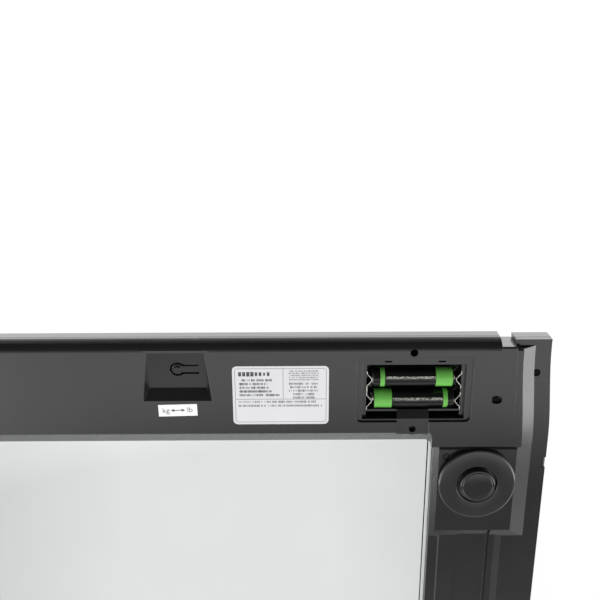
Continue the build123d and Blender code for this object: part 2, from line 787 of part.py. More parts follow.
# Unit button on its sprung tongue, cut from the slab of the recess floor
floor_front = recess_front + wall
floor_rear_y = recess_front - recess_floor_length
floor_slab = [(floor_front, recess_floor(floor_front)), (floor_rear_y, recess_floor(floor_rear_y)),
              (floor_rear_y, recess_floor(floor_rear_y) + tongue_floor),
              (floor_front, recess_floor(floor_front) + tongue_floor)]
root_x = tongue_root + root_gap + root_bead
root_z = recess_floor(button_y) + root_bead
with BuildPart() as button:
    extrude(key_plan(0, bar_level - wall), amount=recess_depth + 4 * wall)
    extrude(section_x(floor_slab, button_x - recess_rear_width), amount=2 * recess_rear_width,
            mode=Mode.INTERSECT)
    # The tongue bends about a round bead along its root
    block(tongue_root - wall, root_x, button_y - tongue_width, button_y + tongue_width,
          bar_level - wall, parting_level, mode=Mode.SUBTRACT)
    with Locations(Plane((root_x, button_y, root_z), x_dir=(1, 0, 0), z_dir=(0, -1, recess_slope))):
        Cylinder(root_bead, tongue_width)
    post(button_x, button_y, recess_floor(button_y) + tongue_floor / 2, plunger_low - press_gap,
         post_radius)
    with Locations(Plane((button_x, button_y, recess_floor(button_y)), x_dir=(1, 0, 0),
                         z_dir=(0, recess_slope, 1))):
        Cone(boss_low_radius, boss_high_radius, 2 * boss_rise)
    block(button_x - 2 * button_radius, button_x + 2 * button_radius, button_y - 2 * button_radius,
          button_y + 2 * button_radius, plunger_low - press_gap, parting_level, mode=Mode.SUBTRACT)
keep(button.part, "unit_button")


# Batteries, lying along X with opposite poles, and their contacts
def battery(y, plus):
    """One jacketed cell with its plus end towards -X or +X."""
    start = bay_x - plus * (battery_length / 2 - end_cap)
    length = battery_length - nub_length - end_cap
    with BuildPart() as cell:
        with Locations(Location((start + plus * length / 2, y, battery_level), (0, 90, 0))):
            Cylinder(battery_diameter / 2, length)
        fillet(cell.edges().filter_by(GeomType.CIRCLE), sleeve_round)
    return cell.part


keep(battery(battery_y[0], -1), "battery_front")
keep(battery(battery_y[1], 1), "battery_rear")

with BuildPart() as terminals:
    for cell_y, plus in ((battery_y[0], -1), (battery_y[1], 1)):
        with Locations(Location((bay_x - plus * (battery_length - end_cap) / 2, cell_y, battery_level),
                                (0, 90, 0))):
            Cylinder(end_cap_radius, end_cap)
        with Locations(Location((bay_x + plus * (battery_length - nub_length) / 2, cell_y, battery_level),
                                (0, 90, 0))):
            Cylinder(nub_radius, nub_length)
keep(terminals.part, "battery_ends")


def contact_line(y, foot, inwards):
    """Points of one sprung bump in plan, from a flat foot towards the cell."""
    tip = foot + inwards * contact_reach
    rise = contact_bump - contact_flat
    return [(foot, y + contact_bump), (foot, y + rise), (tip, y + contact_tip), (tip, y - contact_tip),
            (foot, y - rise), (foot, y - contact_bump)]


def contact_part(points, outwards, tab_y=None):
    """A bent contact strip of even thickness, with a solder tab on its foot if it has one."""
    back = [(x + outwards * contact_thickness, y) for x, y in reversed(points)]
    with BuildPart() as strip:
        extrude(plan(points + back, contact_bottom), amount=contact_height)
        if tab_y is not None:
            tab_start = points[0][0] + outwards * contact_thickness / 2
            block(tab_start, bay_x + outwards * (bay_length / 2 + 2 * bay_wall), tab_y - contact_tab / 2,
                  tab_y + contact_tab / 2, cable_level - contact_thickness, cable_level + contact_thickness)
    return strip.part


bridge_line = contact_line(battery_y[0], contact_high, -1) + contact_line(battery_y[1], contact_high, -1)
keep(contact_part(bridge_line, 1), "contact_bridge")
keep(contact_part(contact_line(battery_y[0], contact_low, 1), -1, tab_y[0]), "contact_positive")
keep(contact_part(contact_line(battery_y[1], contact_low, 1), -1, tab_y[1]), "contact_negative")


# Leads and cables, all in one plane
def cable(points, radius, bends):
    """A round cable along a bent line."""
    with BuildPart() as wire:
        with BuildLine(Plane.XY.offset(cable_level)) as route:
            FilletPolyline(*points, radius=bends)
        with BuildSketch(Plane(origin=route.line @ 0, z_dir=route.line % 0)):
            Circle(radius)
        sweep(path=route.line)
    return wire.part


tab_end = bay_low - 2 * bay_wall
lead_front_y = bay_front + bay_wall + lead_radius + lead_gap
lead_rear_y = inward(bar_face_reach - lead_inset)
lead_turn = tab_end - cable_bend
lead_drop = board_left - 2 * cable_bend
red_route = [(tab_end, tab_y[0]), (lead_turn, tab_y[0]), (lead_turn, lead_front_y),
             (lead_drop, lead_front_y), (lead_drop, lead_socket_y + lead_pitch / 2),
             (board_left, lead_socket_y + lead_pitch / 2)]
black_route = [(tab_end, tab_y[1]), (lead_turn, tab_y[1]), (lead_turn, lead_rear_y),
               (lead_drop, lead_rear_y), (lead_drop, lead_socket_y - lead_pitch / 2),
               (board_left, lead_socket_y - lead_pitch / 2)]
keep(cable(red_route, lead_radius, lead_bend), "battery_lead_red")
keep(cable(black_route, lead_radius, lead_bend), "battery_lead_black")

gauge_front_x = foot_x + gauge_offset
gauge_rear_x = foot_x - gauge_offset
gauge_edge = foot_y + cell_plate / 2 - gauge_inset
cable_front_y = inward(bar_face_reach - cable_inset)
cable_rear_y = cable_front_y - cable_spread
front_pin_x = socket_x + cable_pitch / 2
rear_pin_x = socket_x - cable_pitch / 2
front_cable = cable([(gauge_front_x, gauge_edge), (gauge_front_x, cable_front_y),
                     (front_pin_x, cable_front_y), (front_pin_x, socket_rear)],
                    cable_radius, cable_bend)
rear_cable = cable([(gauge_rear_x, gauge_length - gauge_edge), (gauge_rear_x, cable_rear_y),
                    (rear_pin_x, cable_rear_y), (rear_pin_x, socket_rear)],
                   cable_radius, cable_bend)
keep_pair(front_cable, "sensor_cable_front")
keep_pair(rear_cable, "sensor_cable_rear")

# Load cells: a steel plate with a tongue freed by a slot, a gauge, and a retainer
cell_low = box_floor
cell_top = cell_low + cell_plate_thickness
tongue_end = foot_y + cell_plate / 2 - 2 * cell_slot
with BuildPart() as load_cell:
    block(foot_x - cell_plate / 2, foot_x + cell_plate / 2,
          foot_y - cell_plate / 2, foot_y + cell_plate / 2,
          cell_low, cell_top)
    fillet(load_cell.edges().filter_by(Axis.Z), cell_slot)
    block(foot_x - cell_tongue / 2 - cell_slot, foot_x + cell_tongue / 2 + cell_slot,
          foot_y - cell_plate / 2 + 2 * cell_slot, tongue_end, cell_low, cell_top, mode=Mode.SUBTRACT)
    block(foot_x - cell_tongue / 2, foot_x + cell_tongue / 2, foot_y - cell_plate / 2 + 3 * cell_slot,
          tongue_end, cell_low, cell_top)
    post(foot_x, foot_y, cell_low, cell_top, pin_radius + pin_clearance, mode=Mode.SUBTRACT)


def gauge_pair(x):
    """Sealed gauge on a right-hand load cell, front, with its mirror image on the left."""
    with BuildPart() as gauge:
        for side in sides.values():
            block(side * x - gauge_length / 2, side * x + gauge_length / 2,
                  gauge_edge - gauge_length, gauge_edge,
                  cell_top, cell_top + gauge_height)
        fillet(gauge.edges().group_by(Axis.Z)[-1], gauge_round)
    return gauge.part


keep(gauge_pair(gauge_front_x), "strain_gauges_front")
keep(mirror(gauge_pair(gauge_rear_x), about=Plane.XZ), "strain_gauges_rear")

retainer_low = box_inner + bay_wall + head_clearance
retainer_high = box_outer - bay_wall - head_clearance
retainer_front = inward(rail_start + wall + head_clearance)
retainer_rear = inward(box_rear - wall - head_clearance)
with BuildPart() as retainer:
    block(retainer_low, retainer_high, retainer_rear, retainer_front,
          cell_top, cell_top + retainer_thickness)
    block(foot_x - retainer_slot / 2, foot_x + retainer_slot / 2, foot_y - cell_plate / 2 + cell_slot,
          retainer_front, cell_top, cell_top + retainer_thickness, mode=Mode.SUBTRACT)
    block(gauge_rear_x - retainer_slot / 4, gauge_front_x, retainer_rear, foot_y,
          cable_level - 3 * cable_radius, cell_top + retainer_thickness, mode=Mode.SUBTRACT)
    post(*retainer_peg, box_floor, cell_top, head_radius)
    post(*retainer_screw, box_floor, cell_top, head_radius)
    post(*retainer_screw, box_floor, cell_top + retainer_thickness, screw_radius, mode=Mode.SUBTRACT)

# Feet: a disc with a stem and pin, and a rubber pad in its recess
disc_top = disc_level + disc_thickness
with BuildPart() as disc:
    post(foot_x, foot_y, disc_level, disc_top, disc_radius)
    fillet(disc.edges().filter_by(GeomType.CIRCLE), disc_round)
    post(foot_x, foot_y, disc_level, disc_level + disc_recess_depth, disc_recess_radius, mode=Mode.SUBTRACT)
    lowest = disc.edges().filter_by(GeomType.CIRCLE).group_by(Axis.Z)[0]
    fillet(lowest.sort_by(SortBy.RADIUS)[0], disc_recess_round)
    post(foot_x, foot_y, disc_top, cell_low - contact_gap, stem_radius)
    post(foot_x, foot_y, cell_low - contact_gap, cell_low + pin_length, pin_radius)

with BuildPart() as pad:
    post(foot_x, foot_y, pad_level, disc_level + disc_recess_depth, pad_radius)
    fillet(pad.edges().group_by(Axis.Z)[0], pad_round)

for end, end_sign in ends.items():
    for name, shape in (("load_cell", load_cell.part), ("load_cell_retainer", retainer.part),
                        ("foot_disc", disc.part), ("foot_pad", pad.part)):
        piece = shape if end_sign > 0 else mirror(shape, about=Plane.XZ)
        keep_pair(piece, f"{name}_{end}")

# Labels on the front bar's underside
with BuildPart() as rating_label:
    with BuildSketch(Plane.XY.offset(bar_level - label_thickness)):
        with Locations((rating_x, inward(rating_setback))):
            RectangleRounded(rating_width, rating_height, rating_corner)
    extrude(amount=label_thickness)
keep(rating_label.part, "rating_label")

with BuildPart() as unit_label:
    with BuildSketch(Plane.XY.offset(bar_level - label_thickness)):
        with Locations(Location((unit_label_x, inward(unit_label_setback)), label_turn)):
            RectangleRounded(unit_label_width, unit_label_height, label_thickness)
    extrude(amount=label_thickness)
keep(unit_label.part, "unit_label")


# Screws, heads downwards
def screw(x, y, head_z, length):
    """A cross-head screw whose head starts at one height."""
    post(x, y, head_z, head_z + head_height, head_radius)
    post(x, y, head_z + head_height, head_z + head_height + length, screw_radius)
    block(x - cross_length / 2, x + cross_length / 2, y - cross_width / 2, y + cross_width / 2,
          head_z, head_z + cross_depth, mode=Mode.SUBTRACT)
    block(x - cross_width / 2, x + cross_width / 2, y - cross_length / 2, y + cross_length / 2,
          head_z, head_z + cross_depth, mode=Mode.SUBTRACT)


def screw_group(places, head_z, length):
    """The same screw at each place."""
    with BuildPart() as group:
        for x, y in places:
            screw(x, y, head_z, length)
    return group.part


def four_corners(x, y):
    """One place in each quarter of the scale."""
    return [(side * x, end * y) for side in sides.values() for end in ends.values()]


keep(screw_group(four_corners(bar_screw_x, inward(bar_screw_setback)), parting_level - wall - head_height,
                 screw_length), "bar_screws")
keep(screw_group(four_corners(link_screw_x, link_screw_y), link_floor - head_height, short_screw_length),
     "link_screws")
keep(screw_group(four_corners(rim_screw_x, rim_screw_y), rim_level + head_clearance, screw_length),
     "rim_screws")
keep(screw_group(four_corners(*retainer_screw), box_level + head_clearance, screw_length), "retainer_screws")
keep(screw_group(board_posts, board_level - head_height, short_screw_length), "board_screws")
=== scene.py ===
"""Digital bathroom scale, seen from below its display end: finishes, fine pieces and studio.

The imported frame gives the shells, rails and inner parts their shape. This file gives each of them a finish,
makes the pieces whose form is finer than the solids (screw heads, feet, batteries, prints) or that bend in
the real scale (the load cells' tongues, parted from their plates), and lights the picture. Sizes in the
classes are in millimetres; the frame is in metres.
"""

import json
import logging
import math
from dataclasses import dataclass, field
from enum import Enum
from functools import partial

import bmesh
import bpy
from mathutils import Matrix, Vector

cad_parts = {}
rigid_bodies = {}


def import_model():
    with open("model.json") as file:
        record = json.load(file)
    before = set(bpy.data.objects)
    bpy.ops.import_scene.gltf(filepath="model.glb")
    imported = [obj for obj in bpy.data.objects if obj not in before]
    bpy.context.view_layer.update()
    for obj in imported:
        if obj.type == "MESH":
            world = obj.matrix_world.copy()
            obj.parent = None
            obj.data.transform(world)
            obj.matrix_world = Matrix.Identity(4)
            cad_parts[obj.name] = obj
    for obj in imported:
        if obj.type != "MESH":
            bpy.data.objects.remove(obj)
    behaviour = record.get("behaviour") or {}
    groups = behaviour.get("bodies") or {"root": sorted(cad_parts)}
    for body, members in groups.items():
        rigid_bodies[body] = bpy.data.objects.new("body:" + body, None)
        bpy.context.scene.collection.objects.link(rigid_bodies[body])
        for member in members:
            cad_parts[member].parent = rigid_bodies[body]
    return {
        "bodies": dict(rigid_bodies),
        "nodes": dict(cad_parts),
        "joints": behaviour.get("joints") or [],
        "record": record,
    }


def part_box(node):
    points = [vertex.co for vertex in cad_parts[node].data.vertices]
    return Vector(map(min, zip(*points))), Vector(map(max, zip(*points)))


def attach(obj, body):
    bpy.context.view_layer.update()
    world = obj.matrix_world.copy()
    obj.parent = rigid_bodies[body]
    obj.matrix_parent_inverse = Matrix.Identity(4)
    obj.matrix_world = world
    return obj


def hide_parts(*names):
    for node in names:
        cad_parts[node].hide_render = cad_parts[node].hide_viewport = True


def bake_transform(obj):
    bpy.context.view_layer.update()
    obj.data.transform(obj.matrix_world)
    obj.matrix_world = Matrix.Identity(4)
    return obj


Tree = bpy.types.NodeTree
Node = bpy.types.Node
Socket = bpy.types.NodeSocket
Piece = bpy.types.Object
Names = tuple[str, ...]
Span = tuple[float, float]
Stops = tuple[Span, ...]
Colour = tuple[float, float, float, float]
Profile = list[tuple[float, float, float]]
Shape = tuple[list[Vector], list[tuple[int, ...]]]
Inputs = dict[str, Socket | float]

LOG = logging.getLogger("bathroom_scale")
MM = 0.001
ROOT = "frame"
# Edges sharper than this many degrees stay sharp
CREASE = 32.0
# Nearly all of a noise lies between these values
NOISE_SPAN = (0.3, 0.7)
# Scale at which a wave texture repeats once in a unit
WAVE_SCALE = 0.314


class Corner(Enum):
    """The corners of the scale, as the frame names them."""

    FRONT_LEFT = "front_left"
    FRONT_RIGHT = "front_right"
    REAR_LEFT = "rear_left"
    REAR_RIGHT = "rear_right"


class PlusEnd(Enum):
    """Which way a battery's plus end points along X."""

    LEFT = -1
    RIGHT = 1


# Nodes


def linear(code: str) -> Colour:
    """Turn an sRGB colour code into linear light.

    Args:
        code: A colour written as #RRGGBB.

    Returns:
        Red, green, blue and alpha.
    """
    parts = [int(code[i : i + 2], 16) / 255 for i in (1, 3, 5)]
    red, green, blue = (c / 12.92 if c <= 0.04045 else ((c + 0.055) / 1.055) ** 2.4 for c in parts)
    return red, green, blue, 1.0


def add_node(tree: Tree, kind: str, inputs: dict | None = None, **settings) -> Node:
    """Add a node with its settings, and fill in its inputs.

    Args:
        tree: The tree that takes the node.
        kind: The node's type name.
        inputs: Socket name or number, with a value or the output socket to link.
        **settings: Properties of the node.

    Returns:
        The new node.
    """
    node = tree.nodes.new(kind)
    for name, value in settings.items():
        setattr(node, name, value)
    fill(tree, node, inputs or {})
    return node


def fill(tree: Tree, node: Node, inputs: dict) -> None:
    """Set or link the inputs of a node.

    Args:
        tree: The node's tree.
        node: The node.
        inputs: Socket name or number, with a value or the output socket to link.
    """
    for name, value in inputs.items():
        if isinstance(value, Socket):
            tree.links.new(value, node.inputs[name])
        else:
            node.inputs[name].default_value = value


def place(tree: Tree) -> Socket:
    """The surface's own coordinates, in metres."""
    return add_node(tree, "ShaderNodeTexCoord").outputs["Object"]


def drawn(tree: Tree, where: Socket, run: float) -> Socket:
    """Coordinates in which a pattern is this many times longer along X."""
    inputs = {"Vector": where, "Scale": (1 / run, 1.0, 1.0)}
    return add_node(tree, "ShaderNodeMapping", inputs).outputs["Vector"]


def noise(tree: Tree, where: Socket, size: float, detail: float = 2.0) -> Socket:
    """Noise whose spots are about this many millimetres wide."""
    inputs = {"Vector": where, "Scale": 1 / (size * MM), "Detail": detail}
    return add_node(tree, "ShaderNodeTexNoise", inputs).outputs["Fac"]


def spread(tree: Tree, value: Socket, low: float = 0.0, high: float = 1.0, span: Span = NOISE_SPAN) -> Socket:
    """Stretch a span of a value over a range."""
    inputs = {"Value": value, "From Min": span[0], "From Max": span[1], "To Min": low, "To Max": high}
    return add_node(tree, "ShaderNodeMapRange", inputs).outputs["Result"]


def blend(tree: Tree, factor: Socket, first: Socket | Colour, second: Socket | Colour) -> Socket:
    """Mix two colours."""
    inputs = {"Factor": factor, 6: first, 7: second}
    return add_node(tree, "ShaderNodeMix", inputs, data_type="RGBA").outputs[2]


def math_node(tree: Tree, operation: str, first: Socket | float, second: Socket | float = 0.0) -> Socket:
    """One sum on two values or sockets."""
    return add_node(tree, "ShaderNodeMath", {0: first, 1: second}, operation=operation).outputs["Value"]


def bump(tree: Tree, height: Socket, depth: float, **more: Socket) -> Socket:
    """A normal that follows a height, this many millimetres deep."""
    inputs = {"Height": height, "Distance": depth * MM, **more}
    return add_node(tree, "ShaderNodeBump", inputs).outputs["Normal"]


# Finishes


@dataclass(frozen=True)
class Finish:
    """A real material and how its surface was made."""

    name: str

    def material(self) -> bpy.types.Material:
        """The finish as a material, made the first time it is asked for.

        Returns:
            The material.
        """
        known = bpy.data.materials.get(self.name)
        if known:
            return known
        made = bpy.data.materials.new(self.name)
        made.use_nodes = True
        tree = made.node_tree
        fill(tree, tree.nodes["Principled BSDF"], self.surface(tree))
        return made

    def surface(self, tree: Tree) -> Inputs:
        """Add the nodes of the finish.

        Args:
            tree: The material's tree.

        Returns:
            Inputs of the shader, by name.
        """
        raise NotImplementedError


@dataclass(frozen=True)
class TwoTone(Finish):
    """A finish whose colour drifts between two tones, and its roughness over a span."""

    dark: str
    light: str
    gloss: Span

    def tones(self, tree: Tree, patches: Socket, sheen: Socket) -> Inputs:
        """Colour by one noise and roughness by another."""
        colour = blend(tree, spread(tree, patches), linear(self.dark), linear(self.light))
        return {"Base Color": colour, "Roughness": spread(tree, sheen, *self.gloss)}


@dataclass(frozen=True)
class Moulded(TwoTone):
    """Plastic or rubber from a mould: fine grain, soft edges, handling clouds in the gloss."""

    grain: float = 0.3
    depth: float = 0.004
    cloud: float = 30.0
    edge: float = 0.3

    def surface(self, tree: Tree) -> Inputs:
        """Grain lies on the rounded edge normal, and clouds vary tone and gloss.

        Args:
            tree: The material's tree.

        Returns:
            Inputs of the shader, by name.
        """
        where = place(tree)
        clouds = noise(tree, where, self.cloud, detail=4.0)
        edges = add_node(tree, "ShaderNodeBevel", {"Radius": self.edge * MM}, samples=4).outputs["Normal"]
        normal = bump(tree, noise(tree, where, self.grain), self.depth, Normal=edges)
        return {**self.tones(tree, clouds, clouds), "Normal": normal}


@dataclass(frozen=True)
class Metal(TwoTone):
    """Rolled strip or turned metal: fine lines along X, dull and bright patches."""

    line: float = 0.15
    run: float = 30.0
    depth: float = 0.002

    def surface(self, tree: Tree) -> Inputs:
        """Long thin noise gives the rolling lines.

        Args:
            tree: The material's tree.

        Returns:
            Inputs of the shader, by name.
        """
        where = place(tree)
        lines = noise(tree, drawn(tree, where, self.run), self.line)
        patches = noise(tree, where, self.run / 6, detail=3.0)
        normal = bump(tree, lines, self.depth)
        return {**self.tones(tree, patches, lines), "Normal": normal, "Metallic": 1.0}


@dataclass(frozen=True)
class ClearSheet(TwoTone):
    """Float glass or clear plastic: see-through, tinted, with faint wipe marks."""

    wipe: float = 40.0
    ior: float = 1.52

    def surface(self, tree: Tree) -> Inputs:
        """Wipe marks change the tint and the gloss by a little."""
        marks = noise(tree, place(tree), self.wipe, detail=5.0)
        return {**self.tones(tree, marks, marks), "Transmission Weight": 1.0, "IOR": self.ior}


@dataclass(frozen=True)
class Sleeve(Finish):
    """Shrink film round a battery: glossy, with bands across it and a row of pale print specks along it,
    which is partly print and partly a painted highlight streak.
    """

    ground: str
    band: str
    ink: str
    bands: Stops
    row_span: Span
    row_y: float
    row_width: float = 1.3
    letter: float = 0.5
    ink_share: float = 0.5
    gloss: Span = (0.06, 0.12)
    crease: float = 1.2
    crease_depth: float = 0.03
    crease_run: float = 5.0
    specular: float = 0.28

    def surface(self, tree: Tree) -> Inputs:
        """Bands lie between pairs of X values; the pale specks lie in a row, partly print and partly a
        painted highlight streak; creases run along X.

        Args:
            tree: The material's tree.

        Returns:
            Inputs of the shader, by name.
        """
        where = place(tree)
        axes = add_node(tree, "ShaderNodeSeparateXYZ", {"Vector": where}).outputs
        creases = noise(tree, drawn(tree, where, self.crease_run), self.crease, detail=3.0)
        banded: Socket | float = 0.0
        for start, end in self.bands:
            banded = math_node(tree, "MAXIMUM", banded, self.between(tree, axes["X"], start, end))
        half = self.row_width / 2
        along = self.between(tree, axes["X"], *self.row_span)
        across = self.between(tree, axes["Y"], self.row_y - half, self.row_y + half)
        letters = noise(tree, where, self.letter, detail=1.0)
        specks = math_node(tree, "GREATER_THAN", letters, self.ink_share)
        # Pale specks in the row: partly print, partly a painted highlight streak
        print_and_painted_highlight = math_node(tree, "MULTIPLY", math_node(tree, "MULTIPLY", along, across), specks)
        film = blend(tree, banded, linear(self.ground), linear(self.band))
        return {
            "Base Color": blend(tree, print_and_painted_highlight, film, linear(self.ink)),
            "Roughness": spread(tree, creases, *self.gloss),
            "Normal": bump(tree, creases, self.crease_depth),
            "Specular IOR Level": self.specular,
        }

    def between(self, tree: Tree, value: Socket, start: float, end: float) -> Socket:
        """One where a coordinate lies between two places in millimetres, else zero."""
        above = math_node(tree, "GREATER_THAN", value, start * MM)
        return math_node(tree, "MULTIPLY", above, math_node(tree, "LESS_THAN", value, end * MM))


@dataclass(frozen=True)
class Banded(Finish):
    """Two materials in narrow bands along X, such as contact rubber or tracks under a mask."""

    first: str
    second: str
    pitch: float
    waver: float = 0.0
    gloss: Span = (0.4, 0.6)
    border: Span = (0.45, 0.55)
    depth: float = 0.02

    def surface(self, tree: Tree) -> Inputs:
        """A wave across X makes the bands; a slow noise varies the gloss.

        Args:
            tree: The material's tree.

        Returns:
            Inputs of the shader, by name.
        """
        where = place(tree)
        scale = WAVE_SCALE / (self.pitch * MM)
        wave = {"Vector": where, "Scale": scale, "Distortion": self.waver, "Detail": 1.0}
        bands = add_node(tree, "ShaderNodeTexWave", wave, wave_profile="TRI")
        edge = spread(tree, bands.outputs["Fac"], span=self.border)
        patches = noise(tree, where, 6 * self.pitch, detail=3.0)
        return {
            "Base Color": blend(tree, edge, linear(self.first), linear(self.second)),
            "Roughness": spread(tree, patches, *self.gloss),
            "Normal": bump(tree, edge, self.depth),
        }


# Black satin shell, spark-eroded mould: soft broad highlights, thin lines along its edges
SHELL = Moulded(
    "abs_black_spark_eroded", "#161617", "#1A1A1B", (0.16, 0.20), grain=0.22, depth=0.002, edge=0.28
)
# The covers close on the bases with sharp edges, so that the seam between them hardly shows
COVER = Moulded("abs_black_spark_eroded_sharp", "#161617", "#1A1A1B", (0.16, 0.20), depth=0.002, edge=0.05)
# The same plastic, a little duller: the disc's rim catches a thin line of light
FOOT = Moulded("abs_black_fine_satin", "#171718", "#1B1B1C", (0.18, 0.24), depth=0.002, edge=0.2)
# Smooth moulded rubber: a deep black with small hard glints on its shoulder
PAD = Moulded("rubber_black_smooth_skin", "#1B1B1C", "#202021", (0.1, 0.18), grain=0.5, edge=0.15)
# Silicone bead squeezed along the glass: pale, slightly waxy
BEAD = Moulded("silicone_pale_extruded", "#D9DCDB", "#E2E5E4", (0.35, 0.5), grain=0.6, cloud=12.0, edge=0.1)
# Cross-head screw steel painted near black: painted shade for the depth of their holes, where almost no light
# comes back
SCREW_PAINTED_SHADE = Metal("steel_screw_painted_shade", "#0E0E0F", "#161617", (0.4, 0.55), line=0.2, run=4.0)
# The same screw steel painted lighter for the foot boxes' screws, which sit near the surface: a painted lit
# copy, so that their crosses catch some light
SCREW_PAINTED_LIT = Metal("steel_screw_painted_lit", "#2A2A2C", "#3A3A3C", (0.22, 0.35), line=0.2, run=4.0)
# Blanked spring steel of the load cells: an even grey sheen
SPRING = Metal("steel_spring_blanked", "#8E8E90", "#A6A6A8", (0.28, 0.42))
# Drawn steel can of a battery: satin bright
CAN = Metal("steel_nickel_plated_drawn", "#B4B2AB", "#CFCDC6", (0.18, 0.3), run=6.0)
# Glazed paper of the unit label: whiter than the film
PAPER = Moulded("paper_white_glazed", "#E9E9E9", "#EEEEEE", (0.4, 0.5), grain=0.4, edge=0.03)
# Offset ink: flat dark grey on the film, and a paler one where the print is too fine to be solid
INK = Moulded("ink_grey_offset", "#3A3A3D", "#444448", (0.4, 0.5), grain=0.1, cloud=4.0, edge=0.01)
FINE_INK = Moulded("ink_pale_offset", "#6E6E72", "#7A7A7E", (0.4, 0.5), grain=0.1, cloud=4.0, edge=0.01)

# The finish of each material slot
FINISHES: dict[str, Finish] = {
    "black_plastic": SHELL,
    "seal_rubber": BEAD,
    # Nickel-plated strip: bright, with a soft streak along the rolling
    "contact_metal": Metal("steel_nickel_plated_strip", "#85837C", "#CFCDC6", (0.14, 0.3), run=10.0),
    # Float glass, 6 mm: white seen through it turns a cool pale grey
    "platform_glass": ClearSheet("glass_float_clear", "#E3E6E5", "#E5E8E7", (0.0, 0.012)),
    # Smoked acrylic over the display: the panel shows through it, a little darker
    "window_plastic": ClearSheet("acrylic_smoked_cast", "#B0B2B4", "#B6B8BA", (0.02, 0.06), ior=1.49),
    # Twisted-nematic panel with its polariser: grey-green, semi-matt
    "lcd_glass": Moulded(
        "lcd_polariser_film", "#8C938A", "#959C92", (0.2, 0.28), grain=0.35, cloud=20.0, edge=0.1
    ),
    # Plain moulded plastics inside the frame: evenly matt
    "retainer_plastic": Moulded("abs_black_plain", "#1D1D1F", "#242426", (0.4, 0.55)),
    "white_plastic": Moulded("nylon_white_plain", "#DADAD5", "#E4E4DF", (0.4, 0.55)),
    "switch_plastic": Moulded("nylon_black_plain", "#1C1C1E", "#232325", (0.4, 0.55)),
    # Extruded cable jackets: a dull sheen along the wire
    "cable_jacket": Moulded("pvc_grey_extruded", "#2A2B2D", "#333436", (0.4, 0.55), edge=0.1),
    "lead_red": Moulded("pvc_red_extruded", "#A51512", "#B81D18", (0.35, 0.5), edge=0.1),
    "lead_black": Moulded("pvc_black_extruded", "#161617", "#1E1E20", (0.35, 0.5), edge=0.1),
    # Sealing compound dabbed on the gauges: off-white and blotchy
    "sealant": Moulded("silicone_white_dabbed", "#D2D2CB", "#E2E2DC", (0.4, 0.6), cloud=3.0),
    # Solder mask over copper tracks: two greens
    "board_laminate": Banded(
        "laminate_green_masked", "#1F5A32", "#2A6E3F", pitch=1.3, waver=3.0, gloss=(0.25, 0.4)
    ),
    # Epoxy dropped on the chip: shiny black
    "chip_epoxy": Moulded("epoxy_black_dropped", "#111112", "#18181A", (0.12, 0.3), cloud=4.0),
    # Fired ceramic of the small parts: tan, half shiny
    "small_part_ceramic": Moulded("ceramic_tan_fired", "#A38C68", "#B79E78", (0.3, 0.5), cloud=2.0),
    # Carbon and silicone layers of the display's contact strips: fine stripes
    "strip_rubber": Banded("silicone_carbon_layered", "#7A3A40", "#1C1A1B", pitch=0.18),
    # Coated film: silvery white, slightly shiny
    "label_film": Moulded(
        "film_silver_coated", "#CBCBCD", "#D0D0D2", (0.28, 0.36), grain=0.4, depth=0.002, edge=0.05
    ),
}

# Nodes whose surface differs from the rest of their slot
OWN_FINISHES: dict[str, Finish] = dict.fromkeys(
    ("bar_cover_front", "bar_cover_rear", "rail_cover_left", "rail_cover_right"), COVER
)


# Shapes


def soften(profile: Profile, steps: int = 6, most: float = 0.49) -> list[Span]:
    """Round the corners of a profile.

    Args:
        profile: Radius, height and corner rounding of each point.
        steps: Pieces in each rounded corner.
        most: Share of a side that one rounding can take.

    Returns:
        Radius and height of each point of the rounded line.
    """
    line: list[Span] = []
    for i, (radius, height, rounding) in enumerate(profile):
        corner = Vector((radius, height))
        if not rounding or i in (0, len(profile) - 1):
            line.append((radius, height))
            continue
        before = Vector(profile[i - 1][:2]) - corner
        after = Vector(profile[i + 1][:2]) - corner
        start = corner + before.normalized() * min(rounding, most * before.length)
        end = corner + after.normalized() * min(rounding, most * after.length)
        for step in range(steps + 1):
            s = step / steps
            point = start * (1 - s) ** 2 + corner * 2 * s * (1 - s) + end * s**2
            line.append((point.x, point.y))
    return line


def lathe(profile: Profile, turn: Matrix, segments: int) -> Shape:
    """Round a profile's corners and turn it about an axis.

    Args:
        profile: Radius, height and rounding along the axis, in millimetres, from axis to axis.
        turn: Takes the axis (Z) and its start to their place, in metres.
        segments: Sides round the axis.

    Returns:
        Points and faces with outward normals.
    """
    points: list[Vector] = []
    rings: list[list[int]] = []
    for radius, height in soften(profile):
        count = 1 if radius < 1e-6 else segments
        ring = []
        for i in range(count):
            angle = 2 * math.pi * i / segments
            ring.append(len(points))
            points.append(turn @ (Vector((radius * math.cos(angle), radius * math.sin(angle), height)) * MM))
        rings.append(ring)
    faces: list[tuple[int, ...]] = []
    for low, high in zip(rings, rings[1:]):
        for i in range(segments):
            j = (i + 1) % segments
            corners = [low[i % len(low)], low[j % len(low)], high[j % len(high)], high[i % len(high)]]
            face = tuple(dict.fromkeys(corners))
            if len(face) > 2:
                faces.append(face)
    return points, faces


def mesh_piece(name: str, shapes: list[Shape]) -> Piece:
    """Make one object from lists of points and faces.

    Args:
        name: The piece's name.
        shapes: Pairs of points and faces.

    Returns:
        The linked object.
    """
    points: list[Vector] = []
    faces: list[tuple[int, ...]] = []
    for more_points, more_faces in shapes:
        first = len(points)
        points += more_points
        faces += [tuple(first + i for i in face) for face in more_faces]
    mesh = bpy.data.meshes.new(name)
    mesh.from_pydata(points, [], faces)
    mesh.shade_smooth()
    mesh.set_sharp_from_angle(angle=math.radians(CREASE))
    return link(name, mesh)


def link(name: str, data: bpy.types.ID) -> Piece:
    """Put a mesh, curve or camera into the scene as an object.

    Args:
        name: The object's name.
        data: The mesh, curve or camera.

    Returns:
        The object.
    """
    made = bpy.data.objects.new(name, data)
    bpy.context.scene.collection.objects.link(made)
    return made


